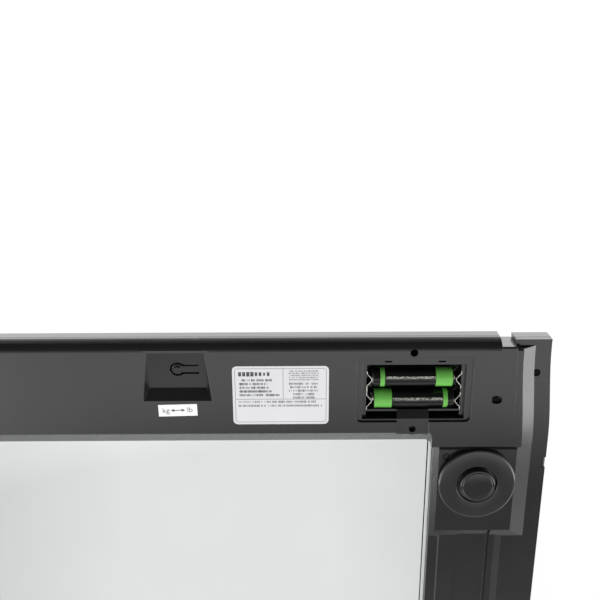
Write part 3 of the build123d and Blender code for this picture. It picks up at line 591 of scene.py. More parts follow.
def plain_mesh(holder: Piece) -> bpy.types.Mesh:
    """Keep the finished mesh of an object, and remove the object.

    Args:
        holder: An object with modifiers, or a text.

    Returns:
        The mesh.
    """
    graph = bpy.context.evaluated_depsgraph_get()
    made = bpy.data.meshes.new_from_object(holder.evaluated_get(graph), depsgraph=graph)
    bpy.data.objects.remove(holder)
    return made


def face_down(x: float, y: float, z: float, turn: float = 0.0) -> Matrix:
    """A place on an underside: its right is -X, its up +Y, and it faces down. Millimetres and degrees."""
    flip = Matrix.Rotation(math.pi, 4, "Y") @ Matrix.Rotation(math.radians(turn), 4, "Z")
    return Matrix.Translation(Vector((x, y, z)) * MM) @ flip


def rectangle(width: float, height: float) -> list[Span]:
    """Corners of a rectangle about its middle, in order round it."""
    return [(width * x / 2, height * y / 2) for x, y in ((-1, -1), (1, -1), (1, 1), (-1, 1))]


def flat(turn: Matrix, outline: list[Span], z: float = 0.0) -> list[Vector]:
    """Points of a flat outline in millimetres, taken to their place in metres."""
    return [turn @ (Vector((x, y, z)) * MM) for x, y in outline]


# Node trees for what repeats


def new_tree(name: str, numbers: Names, counts: Names = ()) -> Tree:
    """A Geometry Nodes tree with named inputs, of which the last is the finish.

    Args:
        name: The tree's name.
        numbers: Inputs that take any number.
        counts: Inputs that take a whole number.

    Returns:
        The tree, with its sockets.
    """
    tree = bpy.data.node_groups.new(name, "GeometryNodeTree")
    kinds = {"Geometry": "Geometry", **dict.fromkeys(numbers, "Float"), **dict.fromkeys(counts, "Int")}
    for label, kind in {**kinds, "Finish": "Material"}.items():
        tree.interface.new_socket(name=label, in_out="INPUT", socket_type=f"NodeSocket{kind}")
    tree.interface.new_socket(name="Geometry", in_out="OUTPUT", socket_type="NodeSocketGeometry")
    return tree


def end_tree(tree: Tree, points: Socket, instance: Socket, finish: Socket, **copying) -> None:
    """Copy an instance onto points, make the copies real, give them their finish and lead them out.

    Args:
        tree: The tree to end.
        points: Where the copies go.
        instance: What is copied.
        finish: The material of the copies.
        **copying: Turn or size of the copies.
    """
    spots = {"Points": points, "Instance": instance, **copying}
    copies = add_node(tree, "GeometryNodeInstanceOnPoints", spots)
    real = add_node(tree, "GeometryNodeRealizeInstances", {"Geometry": copies.outputs[0]})
    dressed = add_node(tree, "GeometryNodeSetMaterial", {"Geometry": real.outputs[0], "Material": finish})
    add_node(tree, "NodeGroupOutput", {"Geometry": dressed.outputs[0]})


def screw_tree(taper: float = 0.88, seed: int = 7) -> Tree:
    """One cross-head screw, head down, on every point.

    Args:
        taper: Radius of the head's face, as a share of the head's radius.
        seed: Draws how far each screw is turned.

    Returns:
        The tree.
    """
    head_sizes = ("Head Radius", "Head Height", "Cross Length", "Cross Width", "Cross Depth")
    tree = new_tree("cross_head_screws", (*head_sizes, "Shank Radius", "Shank Length"))
    add, calc = partial(add_node, tree), partial(math_node, tree)
    given = add("NodeGroupInput").outputs
    face = calc("MULTIPLY", given["Head Radius"], taper)
    radii = {"Radius Top": given["Head Radius"], "Radius Bottom": face}
    cone = {"Vertices": 40, **radii, "Depth": given["Head Height"]}
    head = add("GeometryNodeMeshCone", cone).outputs["Mesh"]
    cut = calc("MULTIPLY", given["Cross Depth"], 2.0)
    bars = add("GeometryNodeJoinGeometry")
    for x, y in (("Cross Length", "Cross Width"), ("Cross Width", "Cross Length")):
        size = add("ShaderNodeCombineXYZ", {"X": given[x], "Y": given[y], "Z": cut})
        bar = add("GeometryNodeMeshCube", {"Size": size.outputs["Vector"]})
        tree.links.new(bar.outputs["Mesh"], bars.inputs[0])
    both = {"Mesh 1": head, "Mesh 2": bars.outputs[0]}
    crossed = add("GeometryNodeMeshBoolean", both, operation="DIFFERENCE")
    rod = {"Vertices": 24, "Radius": given["Shank Radius"], "Depth": given["Shank Length"]}
    shank = add("GeometryNodeMeshCylinder", rod).outputs["Mesh"]
    half = calc("DIVIDE", given["Shank Length"], 2.0)
    lift = add("ShaderNodeCombineXYZ", {"Z": calc("ADD", given["Head Height"], half)}).outputs["Vector"]
    raised = add("GeometryNodeTransform", {"Geometry": shank, "Translation": lift})
    whole = add("GeometryNodeJoinGeometry")
    for part in (crossed, raised):
        tree.links.new(part.outputs[0], whole.inputs[0])
    ends = {"Min": (0.0, 0.0, 0.0), "Max": (0.0, 0.0, math.pi / 2), "Seed": seed}
    turned = add("FunctionNodeRandomValue", ends, data_type="FLOAT_VECTOR").outputs["Value"]
    end_tree(tree, given["Geometry"], whole.outputs[0], given["Finish"], Rotation=turned)
    return tree


def print_tree(gaps: float = 0.14, wide: Span = (0.45, 0.95), tall: Span = (0.6, 1.0)) -> Tree:
    """Rows of small ink strokes that stand for lines of print.

    Args:
        gaps: Share of the letters that is left out.
        wide: Narrowest and widest letter, as shares of the pitch.
        tall: Lowest and highest letter, as shares of the stroke.

    Returns:
        The tree.
    """
    tree = new_tree(
        "print_rows", ("Width", "Height", "Stroke", "Shortest", "Middle"), ("Rows", "Letters", "Seed")
    )
    add, calc = partial(add_node, tree), partial(math_node, tree)
    given = add("NodeGroupInput").outputs

    def draw(low: Socket | float, high: float, **more) -> Socket:
        """A number drawn between two others."""
        ends = {2: low, 3: high, "Seed": given["Seed"], **more}
        return add("FunctionNodeRandomValue", ends, data_type="FLOAT").outputs[1]

    area = {"Size X": given["Width"], "Size Y": given["Height"]}
    counts = {"Vertices X": given["Letters"], "Vertices Y": given["Rows"]}
    spots = add("GeometryNodeMeshGrid", {**area, **counts}).outputs["Mesh"]
    at = add("ShaderNodeSeparateXYZ", {"Vector": add("GeometryNodeInputPosition").outputs[0]}).outputs
    along = calc("ADD", calc("DIVIDE", at["X"], given["Width"]), 0.5)
    up = calc("DIVIDE", at["Y"], given["Height"])
    reach = draw(given["Shortest"], 1.0, ID=calc("ROUND", calc("MULTIPLY", up, given["Rows"])))
    space = add("FunctionNodeRandomValue", {"Probability": gaps, "Seed": given["Seed"]}, data_type="BOOLEAN")
    bare = calc("MAXIMUM", calc("GREATER_THAN", along, reach), space.outputs[3])
    kept = add("GeometryNodeDeleteGeometry", {"Geometry": spots, "Selection": bare})
    slack = calc("MULTIPLY", calc("SUBTRACT", 1.0, reach), given["Width"])
    shift = add("ShaderNodeCombineXYZ", {"X": calc("MULTIPLY", slack, given["Middle"])}).outputs["Vector"]
    set_in = add("GeometryNodeSetPosition", {"Geometry": kept.outputs[0], "Offset": shift})
    unit = {"Size X": 1.0, "Size Y": 1.0, "Vertices X": 2, "Vertices Y": 2}
    stroke = add("GeometryNodeMeshGrid", unit).outputs["Mesh"]
    pitch = calc("DIVIDE", given["Width"], given["Letters"])
    sides = {"X": calc("MULTIPLY", pitch, draw(*wide)), "Y": calc("MULTIPLY", given["Stroke"], draw(*tall))}
    size = add("ShaderNodeCombineXYZ", {**sides, "Z": 1.0}).outputs["Vector"]
    end_tree(tree, set_in.outputs[0], stroke, given["Finish"], Scale=size)
    return tree


def run_tree(tree: Tree, points: list[Vector], values: dict) -> bpy.types.Mesh:
    """Run a tree on points and keep the result as a plain mesh.

    Args:
        tree: The Geometry Nodes tree.
        points: Places for the copies, in metres.
        values: Input name and value.

    Returns:
        The mesh.
    """
    seeds = bpy.data.meshes.new("points")
    seeds.from_pydata(points, [], [])
    holder = link("points", seeds)
    modifier = holder.modifiers.new(tree.name, "NODES")
    modifier.node_group = tree
    for item in tree.interface.items_tree:
        if item.in_out == "INPUT" and item.name in values:
            modifier[item.identifier] = values[item.name]
    made = plain_mesh(holder)
    bpy.data.meshes.remove(seeds)
    return made


# The scale


@dataclass
class Model:
    """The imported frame, with the material slot of each node."""

    frame: dict
    slots: dict[str, str] = field(default_factory=dict)
    level_slack: float = 0.01
    screw_reach: float = 5.0

    def __post_init__(self) -> None:
        """Read each node's material slot from the record."""
        self.slots = {part["node"]: part["material_slot"] for part in self.frame["record"]["subparts"]}

    def paint(self, node: str) -> None:
        """Give a node its own finish, or that of its slot.

        Args:
            node: The node's name.
        """
        finish = OWN_FINISHES.get(node) or FINISHES[self.slots[node]]
        self.frame["nodes"][node].data.materials.clear()
        self.frame["nodes"][node].data.materials.append(finish.material())

    def box(self, node: str) -> tuple[Vector, Vector, Vector]:
        """Lowest corner, highest corner and middle of a node, in millimetres."""
        low, high = (Vector(corner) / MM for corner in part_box(node))
        return low, high, (low + high) / 2

    def heads(self, node: str) -> list[Vector]:
        """Find the screws of a node.

        Args:
            node: The node's name.

        Returns:
            The middle of each screw's lowest face, in metres.
        """
        points = [v.co for v in self.frame["nodes"][node].data.vertices]
        level = min(p.z for p in points)
        groups: list[list[Vector]] = []
        for point in (p for p in points if p.z < level + self.level_slack * MM):
            near = (g for g in groups if (g[0] - point).length < self.screw_reach * MM)
            group = next(near, None)
            if group is None:
                groups.append([point])
            else:
                group.append(point)
        middles = []
        for group in groups:
            across = [[p[axis] for p in group] for axis in range(2)]
            middles.append(Vector([(min(a) + max(a)) / 2 for a in across] + [level]))
        return sorted(middles, key=lambda p: (round(p.x, 4), round(p.y, 4)))

    def add(self, piece: Piece, finish: Finish, slot: str, body: str, *nodes: str) -> None:
        """Hang a piece on its body and dress it."""
        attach(piece, body)
        self.dress(piece, finish, slot, *nodes)

    def dress(self, piece: Piece, finish: Finish, slot: str, *nodes: str) -> None:
        """Give a piece its finish, and let it stand for its nodes.

        Args:
            piece: The piece.
            finish: Its finish, unless its mesh has one.
            slot: Its material slot; not used.
            *nodes: The CAD nodes that it replaces.
        """
        if not piece.data.materials:
            piece.data.materials.append(finish.material())
        if nodes:
            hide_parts(*nodes)
        LOG.info("%s: %d faces", piece.name, len(piece.data.polygons))


@dataclass
class SubAssembly:
    """Pieces that belong together on the scale; `nodes` says how the names of its CAD nodes begin."""

    model: Model
    nodes: Names = ()

    def build(self) -> None:
        """Make the pieces whose form is finer than the solids."""

    def dress(self) -> None:
        """Give the nodes that stay their finish."""
        names = [name for name in self.model.slots if name.startswith(self.nodes)]
        for name in names:
            self.model.paint(name)
        LOG.info("%s: %d nodes dressed", type(self).__name__, len(names))


@dataclass
class Shell(SubAssembly):
    """Bars and rails, each a base and a cover."""

    nodes: Names = ("bar_base", "bar_cover", "rail_base", "rail_cover")


@dataclass
class Platform(SubAssembly):
    """Glass to stand on, and the beads along its sides."""

    nodes: Names = ("glass_platform", "glass_seal")


@dataclass
class Feet(SubAssembly):
    """A disc on each load cell, with a rubber pad in its middle."""

    segments: int = 128
    recess_radius: float = 10.9
    recess_depth: float = 1.9
    recess_round: float = 0.9
    floor_round: float = 0.3
    disc_top: float = 4.7
    rim_round: float = 1.3
    stem_radius: float = 5.0
    stem_top: float = 7.45
    pin_radius: float = 1.7
    face_radius: float = 8.0
    groove: float = 0.4
    groove_depth: float = 0.35
    lip_level: float = 0.15
    shoulder: float = 1.1

    def disc_profile(self, radius: float, level: float, top: float) -> Profile:
        """Line of a disc from its recess floor round to the tip of its pin.

        Args:
            radius: Outer radius.
            level: Height of the rim's face.
            top: Height of the pin's tip.

        Returns:
            Radius, height and rounding of each point.
        """
        floor = level + self.recess_depth
        return [
            (0, floor, 0),
            (self.recess_radius, floor, self.floor_round),
            (self.recess_radius, level, self.recess_round),
            (radius, level, self.rim_round),
            (radius, self.disc_top, self.rim_round / 2),
            (self.stem_radius, self.disc_top, 0),
            (self.stem_radius, self.stem_top, 0),
            (self.pin_radius, self.stem_top, 0),
            (self.pin_radius, top, self.pin_radius / 3),
            (0, top, 0),
        ]

    def pad_profile(self, radius: float, level: float, top: float) -> Profile:
        """Line of a pad: flat face, groove, lip and rounded shoulder.

        Args:
            radius: Outer radius.
            level: Height of the face.
            top: Height of the back.

        Returns:
            Radius, height and rounding of each point.
        """
        lip = level + self.lip_level
        return [
            (0, level, 0),
            (self.face_radius, level, self.groove / 2),
            (self.face_radius + self.groove / 2, level + self.groove_depth, self.groove / 3),
            (self.face_radius + self.groove, lip, self.groove / 2),
            (radius, lip, self.shoulder),
            (radius, top, 0),
            (0, top, 0),
        ]

    def build(self) -> None:
        """Turn a disc and a pad for each corner."""
        for corner in Corner:
            for part, slot, finish, outline in (
                ("foot_disc", "foot_plastic", FOOT, self.disc_profile),
                ("foot_pad", "foot_rubber", PAD, self.pad_profile),
            ):
                node = f"{part}_{corner.value}"
                low, high, middle = self.model.box(node)
                profile = outline((high.x - low.x) / 2, low.z, high.z)
                turn = Matrix.Translation(Vector((middle.x, middle.y, 0)) * MM)
                piece = mesh_piece(f"turned_{node}", [lathe(profile, turn, self.segments)])
                self.model.add(piece, finish, slot, f"foot_{corner.value}", node)


@dataclass
class LoadCells(SubAssembly):
    """Steel cells in the foot boxes, with their gauges, retainers and cables."""

    nodes: Names = ("load_cell_retainer", "sensor_cable", "strain_gauges")
    root_reach: float = 9.7
    free_reach: float = 8.5
    stem_reach: float = 5.2
    tongue_width: float = 14.4
    bends: int = 4

    def build(self) -> None:
        """Part each cell's tongue from its plate."""
        for corner in Corner:
            node = f"load_cell_{corner.value}"
            middle = self.model.box(node)[2]
            way = 1 if corner in (Corner.FRONT_LEFT, Corner.FRONT_RIGHT) else -1
            root = middle.y + way * self.root_reach
            held = middle.y + way * self.stem_reach
            free = middle.y - way * self.free_reach
            whole = bmesh.new()
            whole.from_mesh(self.model.frame["nodes"][node].data)
            for i in range(self.bends + 1):
                cut = root + (held - root) * i / self.bends
                everything = whole.verts[:] + whole.edges[:] + whole.faces[:]
                bmesh.ops.bisect_plane(whole, geom=everything, plane_co=(0, cut * MM, 0), plane_no=(0, 1, 0))
            bending = set()
            for face in whole.faces:
                at = face.calc_center_median() / MM
                beside = abs(at.x - middle.x) < self.tongue_width / 2
                if beside and min(root, free) < at.y < max(root, free):
                    bending.add(face.index)
            plate = self.part(whole, f"plate_{node}", bending)
            tongue = self.part(whole, f"tongue_{node}", {f.index for f in whole.faces} - bending)
            whole.free()
            self.model.add(plate, SPRING, "sensor_steel", ROOT, node)
            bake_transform(tongue)
            self.model.dress(tongue, SPRING, "sensor_steel", node)

    def part(self, whole: bmesh.types.BMesh, name: str, dropped: set[int]) -> Piece:
        """Copy a cell without some of its faces.

        Args:
            whole: The cell.
            name: The copy's name.
            dropped: Numbers of the faces to leave out.

        Returns:
            The linked object.
        """
        shape = whole.copy()
        shape.faces.ensure_lookup_table()
        bmesh.ops.delete(shape, geom=[shape.faces[i] for i in dropped], context="FACES")
        mesh = bpy.data.meshes.new(name)
        shape.to_mesh(mesh)
        shape.free()
        mesh.materials.clear()
        mesh.set_sharp_from_angle(angle=math.radians(CREASE))
        return link(name, mesh)


@dataclass
class Fasteners(SubAssembly):
    """Cross-head screws in the bars, rails, foot boxes and on the board."""

    # Screws in deep holes take the painted-shade copy of the steel, the foot boxes' screws the painted-lit
    # copy
    groups: tuple[tuple[str, Finish], ...] = (
        ("bar_screws", SCREW_PAINTED_SHADE),
        ("link_screws", SCREW_PAINTED_SHADE),
        ("rim_screws", SCREW_PAINTED_SHADE),
        ("retainer_screws", SCREW_PAINTED_LIT),
        ("board_screws", SCREW_PAINTED_SHADE),
    )
    sizes: dict[str, float] = field(
        default_factory=lambda: {
            "Head Radius": 1.9,
            "Head Height": 1.4,
            "Cross Length": 2.4,
            "Cross Width": 0.6,
            "Cross Depth": 0.7,
            "Shank Radius": 1.2,
        }
    )

    def build(self) -> None:
        """Put one screw where each solid screw stands."""
        tree = screw_tree()
        for group, finish in self.groups:
            low, high, _ = self.model.box(group)
            shank = high.z - low.z - self.sizes["Head Height"]
            sizes = {**self.sizes, "Shank Length": shank}
            values = {name: size * MM for name, size in sizes.items()}
            mesh = run_tree(tree, self.model.heads(group), {**values, "Finish": finish.material()})
            self.model.add(link(f"crossed_{group}", mesh), finish, "screw_steel", ROOT, group)


@dataclass
class Battery:
    """One battery: where its plus end points, and where its bands and its row of print, partly a painted
    highlight, lie along X.
    """

    node: str
    plus: PlusEnd
    bands: Stops
    row: Span


@dataclass
class BatteryBay(SubAssembly):
    """Two batteries, their contacts and their leads."""

    nodes: Names = ("contact", "battery_lead")
    batteries: tuple[Battery, ...] = (
        Battery("battery_front", PlusEnd.LEFT, ((-99.4, -97.0), (-135.5, -126.6)), (-126.2, -99.9)),
        Battery("battery_rear", PlusEnd.RIGHT, ((-103.5, -94.1), (-133.5, -131.1)), (-130.8, -103.9)),
    )
    sleeve_segments: int = 96
    nub_segments: int = 48
    cap_segments: int = 64
    sleeve_round: float = 0.9
    fine_round: float = 0.1
    end_hole: float = 4.3
    shoulder_drop: float = 0.3
    nub_radius: float = 1.9
    nub_length: float = 1.2
    nub_foot: float = 0.2
    nub_round: float = 0.4
    cap_radius: float = 4.2
    cap_height: float = 0.3
    cap_sunk: float = 0.1
    ring_share: float = 0.7
    ring_slope: float = 0.2
    ground: str = "#0C0D0C"
    band: str = "#60A549"
    # Pale ink of the print row, bright enough to stand in for the highlight streak: partly painted highlight
    ink: str = "#B0B0A8"
    # Turn round the battery where the highlight streak falls; the pale print row is put there as a painted
    # highlight
    painted_highlight_row_turn: float = 16.0

    def sleeve_profile(self, radius: float, length: float) -> Profile:
        """Line of a sleeve, drawn in over both ends.

        Args:
            radius: Outer radius.
            length: Length along the axis.

        Returns:
            Radius, height and rounding of each point.
        """
        inside = length - self.shoulder_drop
        return [
            (0, 0, 0),
            (self.end_hole, 0, self.fine_round),
            (radius, 0, self.sleeve_round),
            (radius, length, self.sleeve_round),
            (self.end_hole, length, self.fine_round),
            (self.end_hole - self.shoulder_drop, inside, self.fine_round),
            (0, inside, 0),
        ]

    def nub_profile(self) -> Profile:
        """Line of a plus end: a shoulder inside the sleeve and a rounded nub.

        Returns:
            Radius, height and rounding of each point.
        """
        shoulder = self.end_hole - 2 * self.shoulder_drop
        return [
            (0, -self.shoulder_drop, 0),
            (shoulder, -self.shoulder_drop, 0),
            (shoulder, -self.shoulder_drop / 2, self.fine_round),
            (self.nub_radius + self.nub_foot, -self.shoulder_drop / 3, self.nub_foot),
            (self.nub_radius, self.nub_foot, self.fine_round),
            (self.nub_radius, self.nub_length, self.nub_round),
            (0, self.nub_length, 0),
        ]

    def cap_profile(self) -> Profile:
        """Line of a minus end: a flat cap with a shallow ring.

        Returns:
            Radius, height and rounding of each point.
        """
        ring = self.ring_share * self.cap_radius
        return [
            (0, -self.cap_sunk, 0),
            (self.cap_radius, -self.cap_sunk, 0),
            (self.cap_radius, self.cap_height / 2, self.fine_round),
            (ring, self.cap_height / 2, self.fine_round),
            (ring - self.ring_slope, self.cap_height, self.fine_round),
            (0, self.cap_height, 0),
        ]

    def build(self) -> None:
        """Turn the sleeves, and all four metal ends as one piece."""
        ends = []
        for battery in self.batteries:
            low, high, middle = self.model.box(battery.node)
            minus_x, plus_x = (low.x, high.x) if battery.plus is PlusEnd.RIGHT else (high.x, low.x)
            at_minus, at_plus = (
                Matrix.Translation(Vector((x, middle.y, middle.z)) * MM) for x in (minus_x, plus_x)
            )
            forward = Matrix.Rotation(battery.plus.value * math.pi / 2, 4, "Y")
            backward = Matrix.Rotation(-battery.plus.value * math.pi / 2, 4, "Y")
            radius = (high.z - low.z) / 2
            row_y = middle.y + radius * math.sin(math.radians(self.painted_highlight_row_turn))
            # Shrunk film: deep black between bright bands, with a hard thin sheen; the pale print row lies
            # where the highlight streak falls, as a painted highlight
            colours = (self.ground, self.band, self.ink)
            film = Sleeve(f"film_shrunk_{battery.node}", *colours, battery.bands, battery.row, row_y)
            profile = self.sleeve_profile(radius, high.x - low.x)
            sleeve = lathe(profile, at_minus @ forward, self.sleeve_segments)
            piece = mesh_piece(f"sleeve_{battery.node}", [sleeve])
            self.model.add(piece, film, "cell_jacket", ROOT, battery.node)
            ends.append(lathe(self.nub_profile(), at_plus @ forward, self.nub_segments))
            ends.append(lathe(self.cap_profile(), at_minus @ backward, self.cap_segments))
        self.model.add(mesh_piece("turned_battery_ends", ends), CAN, "cell_metal", ROOT, "battery_ends")


@dataclass
class UnitSwitch(SubAssembly):
    """The button on its tongue, and the switch behind it."""

    nodes: Names = ("unit_button", "unit_switch")


@dataclass
class PrintBlock:
    """A block of print on the rating label, by its middle and its size."""

    x: float
    y: float
    rows: int
    letters: int
    width: float
    height: float
    stroke: float
    shortest: float
    middle: float
    finish: Finish

    def values(self, seed: int) -> dict:
        """The block as inputs of the print tree.

        Args:
            seed: Draws the block's letters.

        Returns:
            Input name and value.
        """
        counts = {"Rows": self.rows, "Letters": self.letters, "Seed": seed}
        sizes = {"Width": self.width * MM, "Height": self.height * MM, "Stroke": self.stroke * MM}
        shares = {"Shortest": self.shortest, "Middle": self.middle}
        return {**counts, **sizes, **shares, "Finish": self.finish.material()}


@dataclass
class Labels(SubAssembly):
    """Rating label and unit label, with plain prints."""

    nodes: Names = ("rating_label",)
    proud: float = 0.01
    line: float = 0.28
    divider_x: float = -45.3
    divider_y: float = 123.5
    margin: float = 1.25
    border_round: float = 1.2
    border_steps: int = 8
    blocks: tuple[PrintBlock, ...] = (
        PrintBlock(-30.0, 138.0, 1, 8, 15.0, 0.0, 2.6, 1.0, 0.0, INK),
        PrintBlock(-33.0, 130.2, 5, 38, 21.4, 8.6, 1.5, 0.6, 0.0, INK),
        PrintBlock(-56.3, 137.2, 5, 46, 17.5, 4.9, 0.85, 0.8, 0.5, FINE_INK),
        PrintBlock(-56.3, 128.4, 5, 28, 16.0, 8.0, 1.4, 0.6, 0.5, FINE_INK),
        PrintBlock(-44.2, 120.8, 2, 84, 45.0, 2.3, 1.35, 0.9, 0.0, FINE_INK),
    )
    unit_width: float = 20.7
    unit_height: float = 6.8
    unit_turn: float = 1.3
    letter: float = 4.3
    arrow: float = 7.8
    arrow_line: float = 0.5
    words: tuple[tuple[str, float], ...] = (("kg", -6.4), ("lb", 6.4))

    def build(self) -> None:
        """Print both labels."""
        tree = print_tree()
        low, high, middle = self.model.box("rating_label")
        level = low.z - self.proud
        for i, block in enumerate(self.blocks):
            mesh = run_tree(tree, [Vector((0, 0, 0))], block.values(seed=i))
            mesh.transform(face_down(block.x, block.y, level))
            self.model.add(link(f"label_print_{i}", mesh), block.finish, "label_film", ROOT)
        width, height = high.x - low.x - 2 * self.margin, high.y - low.y - 2 * self.margin
        head = high.y - self.margin
        upper = (self.divider_y + head) / 2
        lines = [
            self.stroke(middle.x, self.divider_y, width, self.line, level),
            self.stroke(self.divider_x, upper, self.line, head - self.divider_y, level),
            self.border(face_down(middle.x, middle.y, level), width, height),
        ]
        self.model.add(mesh_piece("label_lines", lines), FINE_INK, "label_film", ROOT)
        self.unit_sticker()
        self.print_units()

    def border(self, turn: Matrix, width: float, height: float) -> Shape:
        """A thin line round a rounded rectangle.

        Args:
            turn: Takes the rectangle's middle to its place.
            width: Outer width.
            height: Outer height.

        Returns:
            Points and faces.
        """
        x, y = width / 2 - self.border_round, height / 2 - self.border_round
        outline = []
        for corner, (side_x, side_y) in enumerate(((1, 1), (-1, 1), (-1, -1), (1, -1))):
            for step in range(self.border_steps + 1):
                angle = math.pi / 2 * (corner + step / self.border_steps)
                for reach in (self.border_round, self.border_round - self.line):
                    across, up = reach * math.cos(angle), reach * math.sin(angle)
                    outline.append((side_x * x + across, side_y * y + up))
        count = len(outline)
        faces = [(i, (i + 2) % count, (i + 3) % count, i + 1) for i in range(0, count, 2)]
        return flat(turn, outline), faces

    def stroke(self, x: float, y: float, width: float, height: float, z: float) -> Shape:
        """A flat bar of ink on an underside, by its middle."""
        return flat(face_down(x, y, z), rectangle(width, height)), [(0, 1, 2, 3)]

    def unit_sticker(self) -> None:
        """The unit label, stuck on a little askew."""
        low, high, middle = self.model.box("unit_label")
        turn = face_down(middle.x, middle.y, low.z, self.unit_turn)
        outline = rectangle(self.unit_width, self.unit_height)
        points = flat(turn, outline, low.z - high.z) + flat(turn, outline)
        sides = [(i, (i + 1) % 4, (i + 1) % 4 + 4, i + 4) for i in range(4)]
        piece = mesh_piece("sticker_unit_label", [(points, [(3, 2, 1, 0), (4, 5, 6, 7), *sides])])
        self.model.add(piece, PAPER, "label_film", ROOT, "unit_label")

    def print_units(self) -> None:
        """Two unit names with a double arrow between them."""
        low, _, middle = self.model.box("unit_label")
        turn = face_down(middle.x, middle.y, low.z - self.proud, self.unit_turn)
        for text, across in self.words:
            curve = bpy.data.curves.new(f"unit_{text}", "FONT")
            curve.body = text
            curve.size = self.letter * MM
            curve.align_x = "CENTER"
            curve.align_y = "CENTER"
            mesh = plain_mesh(link("letters", curve))
            mesh.transform(turn @ Matrix.Translation(Vector((across, 0, 0)) * MM))
            mesh.materials.clear()
            self.model.add(link(f"unit_{text}", mesh), INK, "label_film", ROOT)
        half, head, thin = self.arrow / 2, self.arrow / 4, self.arrow_line / 2
        neck = half - head
        below = [(-half, 0), (-neck, -head / 2), (-neck, -thin), (neck, -thin), (neck, -head / 2)]
        arrow = flat(turn, below + [(-x, -y) for x, y in below])
        piece = mesh_piece("unit_arrow", [(arrow, [(0, 1, 9), (2, 3, 7, 8), (4, 5, 6)])])
        self.model.add(piece, INK, "label_film", ROOT)


@dataclass
class Electronics(SubAssembly):
    """Board, display and their small parts."""

    nodes: Names = ("main_board", "board_chip", "board_small_parts", "board_sockets", "lcd", "display_window")


# The studio


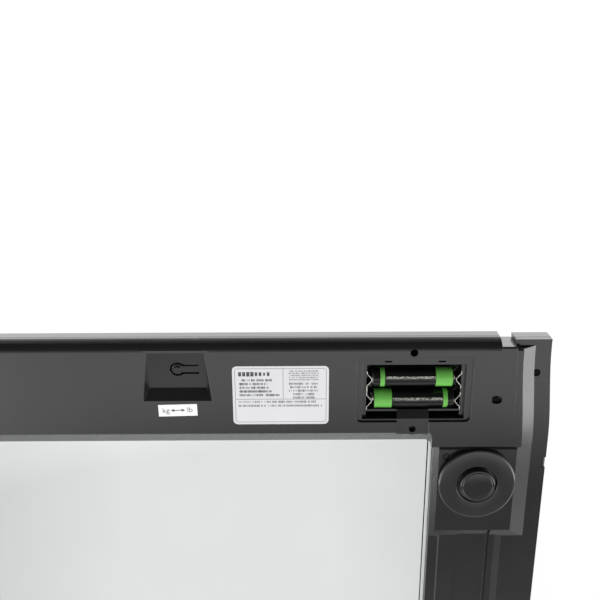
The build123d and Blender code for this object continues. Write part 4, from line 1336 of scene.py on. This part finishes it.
@dataclass
class Studio:
    """Camera, surroundings and floor of the picture; the surroundings give all the light.

    Their brightness goes by a direction's share along an axis: `upper` and `lower` along Y, above and below
    the horizon, `sides` along X below it, and, where the picture looks up through the glass, a painted shade
    along X that darkens the white towards the rails as their shadow would.
    """

    camera_place: tuple[float, float, float] = (-0.05233, 0.30911, -0.37972)
    camera_turn: tuple[float, float, float] = (161.27765, 0.35305, -179.8516)
    lens: float = 47.7
    sensor: float = 36.0
    nearest: float = 0.01
    upper: Stops = (
        (-1.0, 1.3), (-0.86, 1.2), (-0.74, 1.0), (-0.36, 1.02), (0.0, 1.5),
        (0.2, 2.8), (0.48, 2.8), (0.58, 1.2), (0.8, 0.7), (1.0, 0.3),
    )
    lower: Stops = (
        (-1.0, 1.1), (-0.9, 1.1), (-0.74, 1.2), (-0.68, 0.7), (-0.6, 0.42), (-0.56, 0.32),
        (-0.5, 0.22), (-0.483, 0.22), (-0.468, 1.1), (-0.453, 1.8), (-0.43, 2.1), (-0.36, 1.9),
        (-0.3, 1.6), (-0.15, 1.0), (0.0, 0.75), (0.1, 0.4), (0.22, 0.15), (1.0, 0.1),
    )
    sides: Stops = ((-1.0, 4.0), (-0.75, 3.8), (-0.4, 1.0), (0.35, 1.0), (0.6, 2.8), (1.0, 4.2))
    # Painted shade: the white seen through the glass darkens towards the rails, standing in for their shadow
    painted_rail_shade_behind_glass: Stops = ((-0.3, 1.0), (-0.15, 0.9), (-0.04, 1.0), (0.2, 1.0), (0.36, 0.84))
    glass_fade: Span = (-0.42, -0.46)
    sheet_skew: float = 0.05
    horizon: Span = (0.0, 0.12)
    floor_size: float = 8.0
    floor_tones: tuple[str, str] = ("#BDBDBB", "#C4C4C2")
    floor_fibre: float = 60.0
    floor_roughness: float = 0.8

    def build(self) -> None:
        """Set up everything round the scale."""
        self.camera()
        self.surroundings()
        self.floor()
        bpy.context.scene.view_settings.view_transform = "Standard"
        LOG.info("studio: camera, surroundings and floor")

    def camera(self) -> None:
        """The photo's camera, below the floor and looking up."""
        data = bpy.data.cameras.new("photo_camera")
        data.lens = self.lens
        data.sensor_width = self.sensor
        data.clip_start = self.nearest
        made = link("photo_camera", data)
        made.location = self.camera_place
        made.rotation_euler = [math.radians(a) for a in self.camera_turn]
        bpy.context.scene.camera = made

    def ramp(self, tree: Tree, value: Socket, levels: Stops) -> Socket:
        """Brightness by a direction's share along one axis.

        Args:
            tree: The world's tree.
            value: The share, from -1 to 1.
            levels: Pairs of a share and its brightness.

        Returns:
            The brightness.
        """
        peak = max(level for _, level in levels)
        share = spread(tree, value, span=(-1.0, 1.0))
        made = add_node(tree, "ShaderNodeValToRGB", {"Fac": share})
        points = made.color_ramp.elements
        while len(points) < len(levels):
            points.new(0.5)
        for point, (at, level) in zip(points, levels):
            point.position = (at + 1) / 2
            point.color = (level / peak, level / peak, level / peak, 1.0)
        return math_node(tree, "MULTIPLY", made.outputs["Color"], peak)

    def surroundings(self) -> None:
        """White above, brightest towards the display end, with painted rail shade where it is seen through
        the glass; below, a bright sheet that ends under the bar.
        """
        world = bpy.data.worlds.new("studio")
        bpy.context.scene.world = world
        world.use_nodes = True
        tree = world.node_tree
        calc = partial(math_node, tree)
        way = add_node(tree, "ShaderNodeTexCoord").outputs["Generated"]
        axes = add_node(tree, "ShaderNodeSeparateXYZ", {"Vector": way}).outputs
        through = spread(tree, axes["Y"], span=self.glass_fade)
        # Painted shade of the rails on the white seen through the glass
        shaded = blend(tree, through, linear("#FFFFFF"), self.ramp(tree, axes["X"], self.painted_rail_shade_behind_glass))
        upper = calc("MULTIPLY", self.ramp(tree, axes["Y"], self.upper), shaded)
        skewed = calc("ADD", axes["Y"], calc("MULTIPLY", axes["X"], self.sheet_skew))
        sides = self.ramp(tree, axes["X"], self.sides)
        lower = calc("MULTIPLY", self.ramp(tree, skewed, self.lower), sides)
        side = spread(tree, axes["Z"], span=self.horizon)
        fill(tree, tree.nodes["Background"], {"Color": blend(tree, side, lower, upper)})

    def floor(self) -> None:
        """A pale floor under the feet, seen from above only, so that the picture can look up through it."""
        mesh = bpy.data.meshes.new("floor")
        corners = [(x, y, 0) for x, y in rectangle(self.floor_size, self.floor_size)]
        mesh.from_pydata(corners, [], [(0, 1, 2, 3)])
        made = link("floor", mesh)
        material = bpy.data.materials.new("floor_paper_pale")
        material.use_nodes = True
        tree = material.node_tree
        shader = tree.nodes["Principled BSDF"]
        fibres = noise(tree, place(tree), self.floor_fibre, detail=4.0)
        colour = blend(tree, fibres, *(linear(code) for code in self.floor_tones))
        fill(tree, shader, {"Base Color": colour, "Roughness": self.floor_roughness})
        clear = add_node(tree, "ShaderNodeBsdfTransparent").outputs["BSDF"]
        back = add_node(tree, "ShaderNodeNewGeometry").outputs["Backfacing"]
        mixed = add_node(tree, "ShaderNodeMixShader", {0: back, 1: shader.outputs["BSDF"], 2: clear})
        fill(tree, tree.nodes["Material Output"], {"Surface": mixed.outputs["Shader"]})
        mesh.materials.append(material)
        made.visible_shadow = False
        made.visible_diffuse = False
        made.visible_glossy = False


def main() -> None:
    """Load the frame, build and dress the scale, and set up the studio."""
    logging.basicConfig(level=logging.INFO, format="%(name)s: %(message)s")
    model = Model(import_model())
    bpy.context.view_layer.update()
    kinds = (Shell, Platform, Feet, LoadCells, Fasteners, BatteryBay, UnitSwitch, Labels, Electronics)
    for kind in kinds:
        assembly = kind(model)
        assembly.build()
        assembly.dress()
    Studio().build()


if __name__ == "__main__":
    main()
